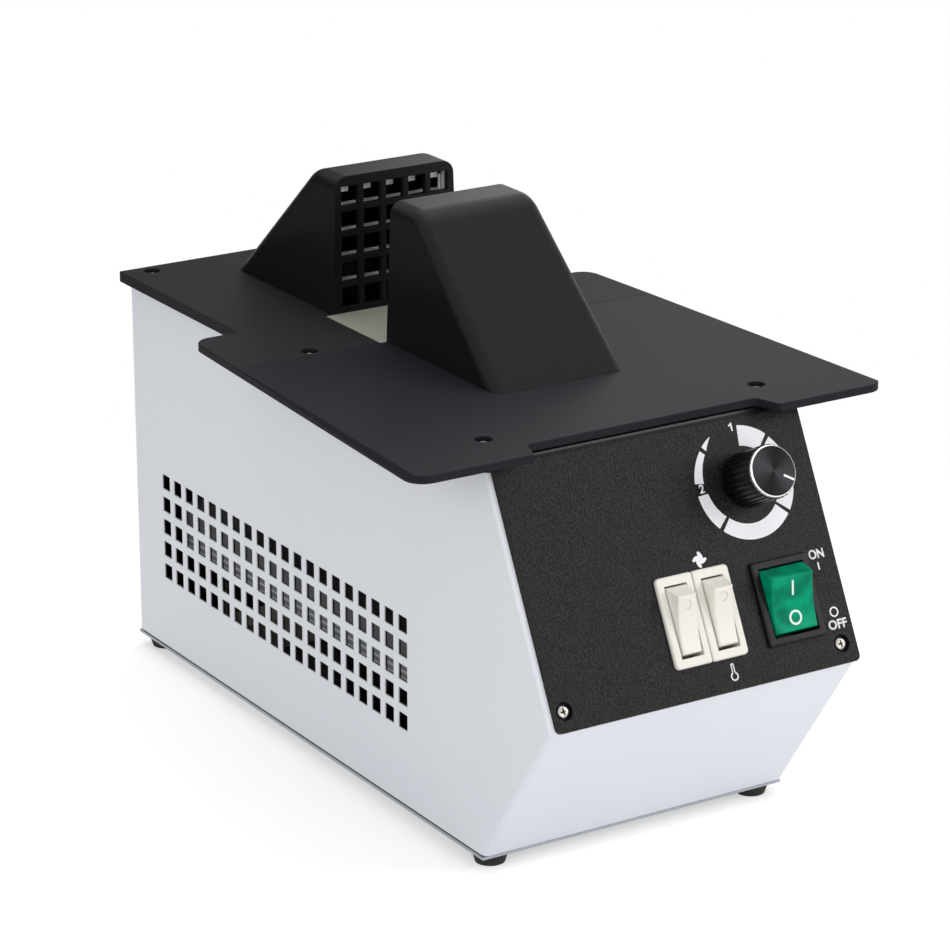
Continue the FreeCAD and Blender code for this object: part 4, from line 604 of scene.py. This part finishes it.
# Filled marks: matt white that takes a little green from the lens around it.
mint, tree, shader, place = finish("filled_mark_mint", "#D2EFE1", roughness=0.45)
fill = add(tree, "ShaderNodeTexNoise", {"Vector": place, "Scale": 1 / (0.5 * MM), "Detail": 2.0})
tint(tree, shader, fill.outputs[0], "#E8F8F0")

TILT = math.radians(15.0)
MAIN_PIVOT = Vector((44.5, 29.3, 0.7))
CROWN = 6.0                # of the rocker's face, above its pivot
DISH = 43.0                # radius of its hollow face
MARK_THICK = 0.17
MARK_REACH = 5.9           # from the middle of the face to each mark
rocker_place = SLOPE @ Matrix.Translation(MAIN_PIVOT * MM) @ Matrix.Rotation(TILT, 4, "X")
for mark, shapes, at in (("on_mark", [bar(0, -3.0, 3.0, 0.9)], MARK_REACH),
                         ("off_mark", ring((0, 0), 2.95, 0.85), -MARK_REACH)):
    turn = math.asin(at / DISH)
    spot = Matrix.Translation(Vector((0, at, CROWN + DISH * (1 - math.cos(turn)))) * MM)
    filled = outline_piece(mark, shapes, [], rocker_place @ spot @ Matrix.Rotation(turn, 4, "X"), mint,
                           thick=MARK_THICK)
    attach(filled, "main_rocker")

# ---------------------------------------------------------------- knob
# Turned and fluted aluminium, anodised black, with a spun face; the chamfer round the face is cut after
# anodising, so it is bare and bright. The pointer is a milled line filled with white paint.

# Anodised aluminium: a thin glassy black over the metal.
anodised, tree, shader, place = finish("anodised_aluminium_black", "#070708", roughness=0.3,
                                       specular_ior_level=0.3)
skin(tree, shader, place, grain=0.6, depth=0.02, strength=0.3, edge=0.15)
wear(anodised, "knob")

KNOB = (39.1, 77.9)
KNOB_RISE, KNOB_HEIGHT = 1.0, 20.0
SHEEN_ANGLE = math.radians(62)    # from the panel's width to the dark line between the fans
RIM_DEPTH = 0.05           # below which the face has turned into the bare chamfer
GROOVE_PITCH = 0.3
KNOB_TOP = SLOPE @ (Vector((*KNOB, PANEL_FACE + KNOB_RISE + KNOB_HEIGHT)) * MM)
KNOB_SIDE = SLOPE.to_3x3() @ Vector((math.cos(SHEEN_ANGLE), math.sin(SHEEN_ANGLE), 0))

# Spun face: rings round the centre, drawn coarser than a tool leaves them, inside a bright rim. Its two
# fans of light are painted sheen: the face darkens towards a line fixed to it, so they turn with the knob.
face_metal, tree, shader, place = finish("spun_aluminium_face", "#242326", metallic=0.85, roughness=0.3,
                                         anisotropic=0.85)
from_top = add(tree, "ShaderNodeVectorMath", {0: place, 1: KNOB_TOP}, operation="SUBTRACT")
round_way = add(tree, "ShaderNodeVectorMath", {0: OUT, 1: from_top.outputs[0]}, operation="CROSS_PRODUCT")
turned = add(tree, "ShaderNodeVectorTransform", {0: round_way.outputs[0]}, convert_from="OBJECT",
             convert_to="WORLD", vector_type="VECTOR")
tangent = add(tree, "ShaderNodeVectorMath", {0: turned.outputs[0]}, operation="NORMALIZE")
tree.links.new(tangent.outputs[0], shader.inputs["Tangent"])
radius = add(tree, "ShaderNodeVectorMath", {0: from_top.outputs[0]}, operation="LENGTH")
aside = add(tree, "ShaderNodeVectorMath", {0: from_top.outputs[0], 1: KNOB_SIDE}, operation="DOT_PRODUCT")
facing = add(tree, "ShaderNodeMath", {0: aside.outputs["Value"], 1: radius.outputs["Value"]},
             operation="DIVIDE")
# Painted sheen: dark along the line, lighter across it.
painted_sheen = add(tree, "ShaderNodeMath", {0: facing.outputs[0], 1: 2.0}, operation="POWER")
tint(tree, shader, painted_sheen.outputs[0], "#010101")
depth = add(tree, "ShaderNodeVectorMath", {0: from_top.outputs[0], 1: OUT}, operation="DOT_PRODUCT")
rim = add(tree, "ShaderNodeMath", {0: depth.outputs["Value"], 1: -RIM_DEPTH * MM}, operation="LESS_THAN")
tint(tree, shader, rim.outputs[0], "#F2F2F2")
groove = add(tree, "ShaderNodeMath", {0: radius.outputs["Value"], 1: math.tau / (GROOVE_PITCH * MM)},
             operation="MULTIPLY")
ridge = add(tree, "ShaderNodeMath", {0: groove.outputs[0]}, operation="SINE")
relief(tree, shader, ridge.outputs[0], depth=0.002, strength=0.5)
wear(face_metal, "knob_cap")

# Filled paint: plain white, a little uneven where it has shrunk in its groove.
paint, tree, shader, place = finish("filled_paint_white", "#F2F2F0", roughness=0.5)
skin(tree, shader, place, grain=0.6, depth=0.02, strength=0.3)
wear(paint, "knob_pointer")

# ---------------------------------------------------------------- screws
# Cross-head pan screws, cold headed and nickel plated, with a rolled thread. They hold the plates, the
# hoods, the feet, the back, the inlet and the panel, and each was stopped at a turn of its own.

# Nickel plate: a warm bright dome, and the punched recess darkened as painted shade.
nickel, tree, shader, place = finish("nickel_plated_steel", "#B4B1A9", metallic=1.0, roughness=0.36)
skin(tree, shader, place, grain=1.0, depth=0.02, strength=0.3)
# Painted shade in the punched recess.
recess_shade = add(tree, "ShaderNodeAttribute", attribute_name="recess")
tint(tree, shader, recess_shade.outputs["Fac"], "#1E1D1B")
wear(nickel, "potentiometer_nut")

HEAD, HEAD_HEIGHT = 2.5, 1.6
SHANK, SHANK_END, POINT = 1.45, 8.6, 0.9
DOME = ((0.0, 0.0), (0.8, -0.03), (1.4, -0.1), (1.9, -0.24), (2.25, -0.46), (2.44, -0.75), (HEAD, -1.1))
THREAD_TOP, THREAD_DEPTH, HALF_TURN, HALF_TURNS = -1.9, 0.25, 0.35, 18
CROSS = ((0.2, 0.42, 1.65), (-0.95, 0.28, 0.6))   # height, half width and half length at the punch's ends
RECESS_RADIUS, RECESS_FLOOR, RECESS_BRIM = 1.8, -1.2, 0.06
BLOCK_FACES = ((0, 1, 2, 3), (7, 6, 5, 4), (0, 4, 5, 1), (1, 5, 6, 2), (2, 6, 7, 3), (3, 7, 4, 0))


def build(name, verts, faces, material):
    """A mesh object of its own, at the origin."""
    mesh = bpy.data.meshes.new(name)
    mesh.from_pydata([tuple(v) for v in verts], [], faces)
    mesh.materials.append(material)
    return stand(name, mesh)


def dome(radius):
    """Height of a screw head's face at a radius, in millimetres, from its crown."""
    for (near, first), (far, last) in zip(DOME, DOME[1:]):
        if radius <= far:
            return first + (last - first) * (radius - near) / (far - near)
    return DOME[-1][1]


thread = [(SHANK if turn % 2 else SHANK - THREAD_DEPTH, THREAD_TOP - HALF_TURN * turn)
          for turn in range(HALF_TURNS)]
profile = [*DOME, (HEAD, -HEAD_HEIGHT), (SHANK, -HEAD_HEIGHT), *thread, (POINT, -SHANK_END),
           (0.0, -SHANK_END)]
lathe = bmesh.new()
chain = [lathe.verts.new((radius * MM, 0, z * MM)) for radius, z in profile]
line = [lathe.edges.new(pair) for pair in zip(chain, chain[1:])]
bmesh.ops.spin(lathe, geom=chain + line, axis=(0, 0, 1), cent=(0, 0, 0), angle=math.tau, steps=32)
bmesh.ops.remove_doubles(lathe, verts=lathe.verts, dist=MERGE)
bmesh.ops.recalc_face_normals(lathe, faces=lathe.faces)
screw_mesh = bpy.data.meshes.new("screw")
lathe.to_mesh(screw_mesh)
lathe.free()
screw = stand("screw", screw_mesh)
punches = []
for turned_over in (False, True):
    corners = []
    for z, half, reach in CROSS:
        for x, y in ((-half, -reach), (half, -reach), (half, reach), (-half, reach)):
            corners.append((y * MM, x * MM, z * MM) if turned_over else (x * MM, y * MM, z * MM))
    punch = build("punch", corners, BLOCK_FACES, nickel)
    solid = bmesh.new()
    solid.from_mesh(punch.data)
    bmesh.ops.recalc_face_normals(solid, faces=solid.faces)
    solid.to_mesh(punch.data)
    solid.free()
    screw.modifiers.new("recess", "BOOLEAN").object = punch
    punches.append(punch)
pierced = screw.evaluated_get(bpy.context.evaluated_depsgraph_get())
screw.data = bpy.data.meshes.new_from_object(pierced)
screw.modifiers.clear()
for punch in punches:
    bpy.data.objects.remove(punch)
# Marks the punched recess for its painted shade.
recess_shade_layer = screw.data.attributes.new("recess", "FLOAT", "POINT")
for index, vert in enumerate(screw.data.vertices):
    off_axis, z = math.hypot(vert.co.x, vert.co.y) / MM, vert.co.z / MM
    punched = off_axis < RECESS_RADIUS and dome(off_axis) - RECESS_BRIM > z > RECESS_FLOOR
    recess_shade_layer.data[index].value = 1.0 if punched else 0.0

driven, given = new_tree("driven_screws", Screw="Object", Axis="Vector", Seed="Int", Material="Material")
aim = add(driven, "FunctionNodeAlignRotationToVector", {"Vector": given["Axis"]}, axis="Z")
chance = add(driven, "FunctionNodeRandomValue", {3: math.tau, "Seed": given["Seed"]})
twist = add(driven, "FunctionNodeAxisAngleToRotation", {"Axis": (0, 0, 1), "Angle": chance.outputs[1]})
seat = add(driven, "FunctionNodeRotateRotation", {"Rotation": aim.outputs[0], "Rotate By": twist.outputs[0]},
           rotation_space="LOCAL")
model = add(driven, "GeometryNodeObjectInfo", {"Object": given["Screw"]})
set_in = add(driven, "GeometryNodeInstanceOnPoints", {"Points": given["Geometry"],
             "Instance": model.outputs["Geometry"], "Rotation": seat.outputs[0]})
close_tree(driven, given, set_in.outputs[0])

UP, DOWN, BACKWARDS = (0, 0, 1), (0, 0, -1), (0, 1, 0)
FIRST_SEED = 3
PANEL_SCREW = (64.5, 8.0, 2.1)    # out from the middle, up the slope and out of it
for number, (node, axis) in enumerate((("front_plate_screw", UP), ("rear_plate_screw", UP),
                                       ("hood_screw", DOWN), ("foot_screw", DOWN), ("back_screw", BACKWARDS),
                                       ("inlet_screw", BACKWARDS), ("panel_screw", OUT))):
    low, high = (Vector(corner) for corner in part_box(node))
    inset = HEAD * MM
    across_x = (low.x + inset, high.x - inset)
    if node == "panel_screw":
        x, y, z = PANEL_SCREW
        heads = [SLOPE @ (Vector((way * x, y, z)) * MM) for way in (-1, 1)]
    elif axis == BACKWARDS:
        rows = sorted({round(low.z + inset, 5), round(high.z - inset, 5)})
        heads = [(x, high.y, z) for x in across_x for z in rows]
    else:
        rows = sorted({round(low.y + inset, 5), round(high.y - inset, 5)})
        heads = [(x, y, high.z if axis == UP else low.z) for x in across_x for y in rows]
    screws = grow(f"{node}s", heads, driven, Screw=screw, Axis=tuple(axis), Seed=number + FIRST_SEED,
                  Material=nickel)
    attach(screws, "case")
    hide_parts(node)
bpy.data.objects.remove(screw)

# ---------------------------------------------------------------- counter, light and camera
# A plain white sweep, soft light from overhead and all sides, and a long lens from the left front. The
# paper turns pure white away from the part, and two dark cards behind it are seen in glossy faces alone.
SWEEP = 6.0
PAPER_GLOW = 0.45          # lifts the paper to the background's white, for the rays that show it
FADE = (0.2, 0.45)         # metres from the part over which the paper turns pure white
AIR_LIGHT = 0.42           # of the white surroundings, on everything that they light


def seen_rays(tree):
    """1 for a ray that shows the background itself, to the eye, in metal or through glass."""
    path = add(tree, "ShaderNodeLightPath")
    direct = add(tree, "ShaderNodeMath", {0: path.outputs["Is Camera Ray"],
                 1: path.outputs["Is Glossy Ray"]})
    return add(tree, "ShaderNodeMath", {0: direct.outputs[0], 1: path.outputs["Is Transmission Ray"]},
               use_clamp=True).outputs[0]


# Matt paper: it keeps the part's soft shadow and mirrors nothing.
paper = bpy.data.materials.new("studio_paper")
paper.use_nodes = True
tree = paper.node_tree
tree.nodes.clear()
diffuse = add(tree, "ShaderNodeBsdfDiffuse", {"Color": colour("#E8E8E8")})
shown = seen_rays(tree)
lift = add(tree, "ShaderNodeMath", {0: shown, 1: PAPER_GLOW}, operation="MULTIPLY")
glow = add(tree, "ShaderNodeEmission", {"Color": colour("#FFFFFF"), "Strength": lift.outputs[0]})
near_part = add(tree, "ShaderNodeAddShader", {0: diffuse.outputs[0], 1: glow.outputs[0]})
ground = add(tree, "ShaderNodeTexCoord").outputs["Object"]
distance = add(tree, "ShaderNodeVectorMath", {0: ground}, operation="LENGTH")
fade = add(tree, "ShaderNodeMapRange", {"Value": distance.outputs["Value"], "From Min": FADE[0],
           "From Max": FADE[1]}, interpolation_type="SMOOTHSTEP")
far = add(tree, "ShaderNodeMath", {0: fade.outputs[0], 1: shown}, operation="MULTIPLY")
bright = add(tree, "ShaderNodeEmission", {"Color": colour("#FFFFFF"), "Strength": 1.0})
blend = add(tree, "ShaderNodeMixShader", {0: far.outputs[0], 1: near_part.outputs[0], 2: bright.outputs[0]})
add(tree, "ShaderNodeOutputMaterial", {"Surface": blend.outputs[0]})
floor = build("sweep", [(-SWEEP, -SWEEP, 0), (SWEEP, -SWEEP, 0), (SWEEP, SWEEP, 0), (-SWEEP, SWEEP, 0)],
              [(0, 1, 2, 3)], paper)

world = bpy.data.worlds.new("studio")
bpy.context.scene.world = world
world.use_nodes = True
tree = world.node_tree
tree.nodes.clear()
air = add(tree, "ShaderNodeBackground", {"Color": colour("#FFFFFF"), "Strength": AIR_LIGHT})
white = add(tree, "ShaderNodeBackground", {"Color": colour("#FFFFFF"), "Strength": 1.0})
both = add(tree, "ShaderNodeMixShader", {0: seen_rays(tree), 1: air.outputs[0], 2: white.outputs[0]})
add(tree, "ShaderNodeOutputWorld", {"Surface": both.outputs[0]})

# Each card's name, width, height, place in metres and turn in degrees.
for name, wide, high, at, turn in (("flag", 0.9, 0.7, (-0.36, 0.6, 0.12), 32),
                                   ("back_flag", 1.2, 0.7, (0.46, 1.1, 0.56), -24)):
    flag = build(name, [(x * wide / 2, 0, z * high / 2) for x, z in ((-1, -1), (1, -1), (1, 1), (-1, 1))],
                 [(0, 1, 2, 3)], rubber)
    flag.location = at
    flag.rotation_euler = (0, 0, math.radians(turn))
    flag.visible_camera = flag.visible_diffuse = flag.visible_transmission = flag.visible_shadow = False

# Each lamp's name, place and aim in metres, width in metres and power in watts.
for name, at, towards, wide, power in (
        ("overhead", (0.2, 0.3, 1.7), (0, 0, 0.1), 1.5, 10.0),
        ("right", (1.5, -1.3, 0.9), (0, 0, 0.1), 1.0, 14.0),
        ("left", (-1.8, -0.9, 0.7), (0, 0, 0.1), 1.2, 12.0),
        ("low_front", (0.2, -1.7, 0.25), (0, -0.15, 0.05), 0.8, 6.0),
        ("back_right", (0.6, 0.7, 0.55), (0.06, -0.03, 0.17), 0.35, 1.0)):
    lamp = bpy.data.lights.new(name, "AREA")
    lamp.shape = "SQUARE"
    lamp.size = wide
    lamp.energy = power
    holder = stand(name, lamp)
    holder.location = at
    holder.rotation_euler = (Vector(towards) - Vector(at)).to_track_quat("-Z", "Y").to_euler()

CAMERA_AT = (-0.8055856, -1.2818324, 0.6422219)
CAMERA_DOWN, CAMERA_RIGHT = 0.335379, 0.561301    # radians below the horizon, and to the right of +Y
lens = bpy.data.cameras.new("camera")
lens.lens = 147.7451
lens.sensor_width = 36.0
lens.clip_end = 20.0
camera = stand("camera", lens)
camera.location = CAMERA_AT
camera.rotation_euler = (math.pi / 2 - CAMERA_DOWN, 0.0, -CAMERA_RIGHT)
bpy.context.scene.camera = camera
bpy.context.scene.view_settings.view_transform = "Standard"
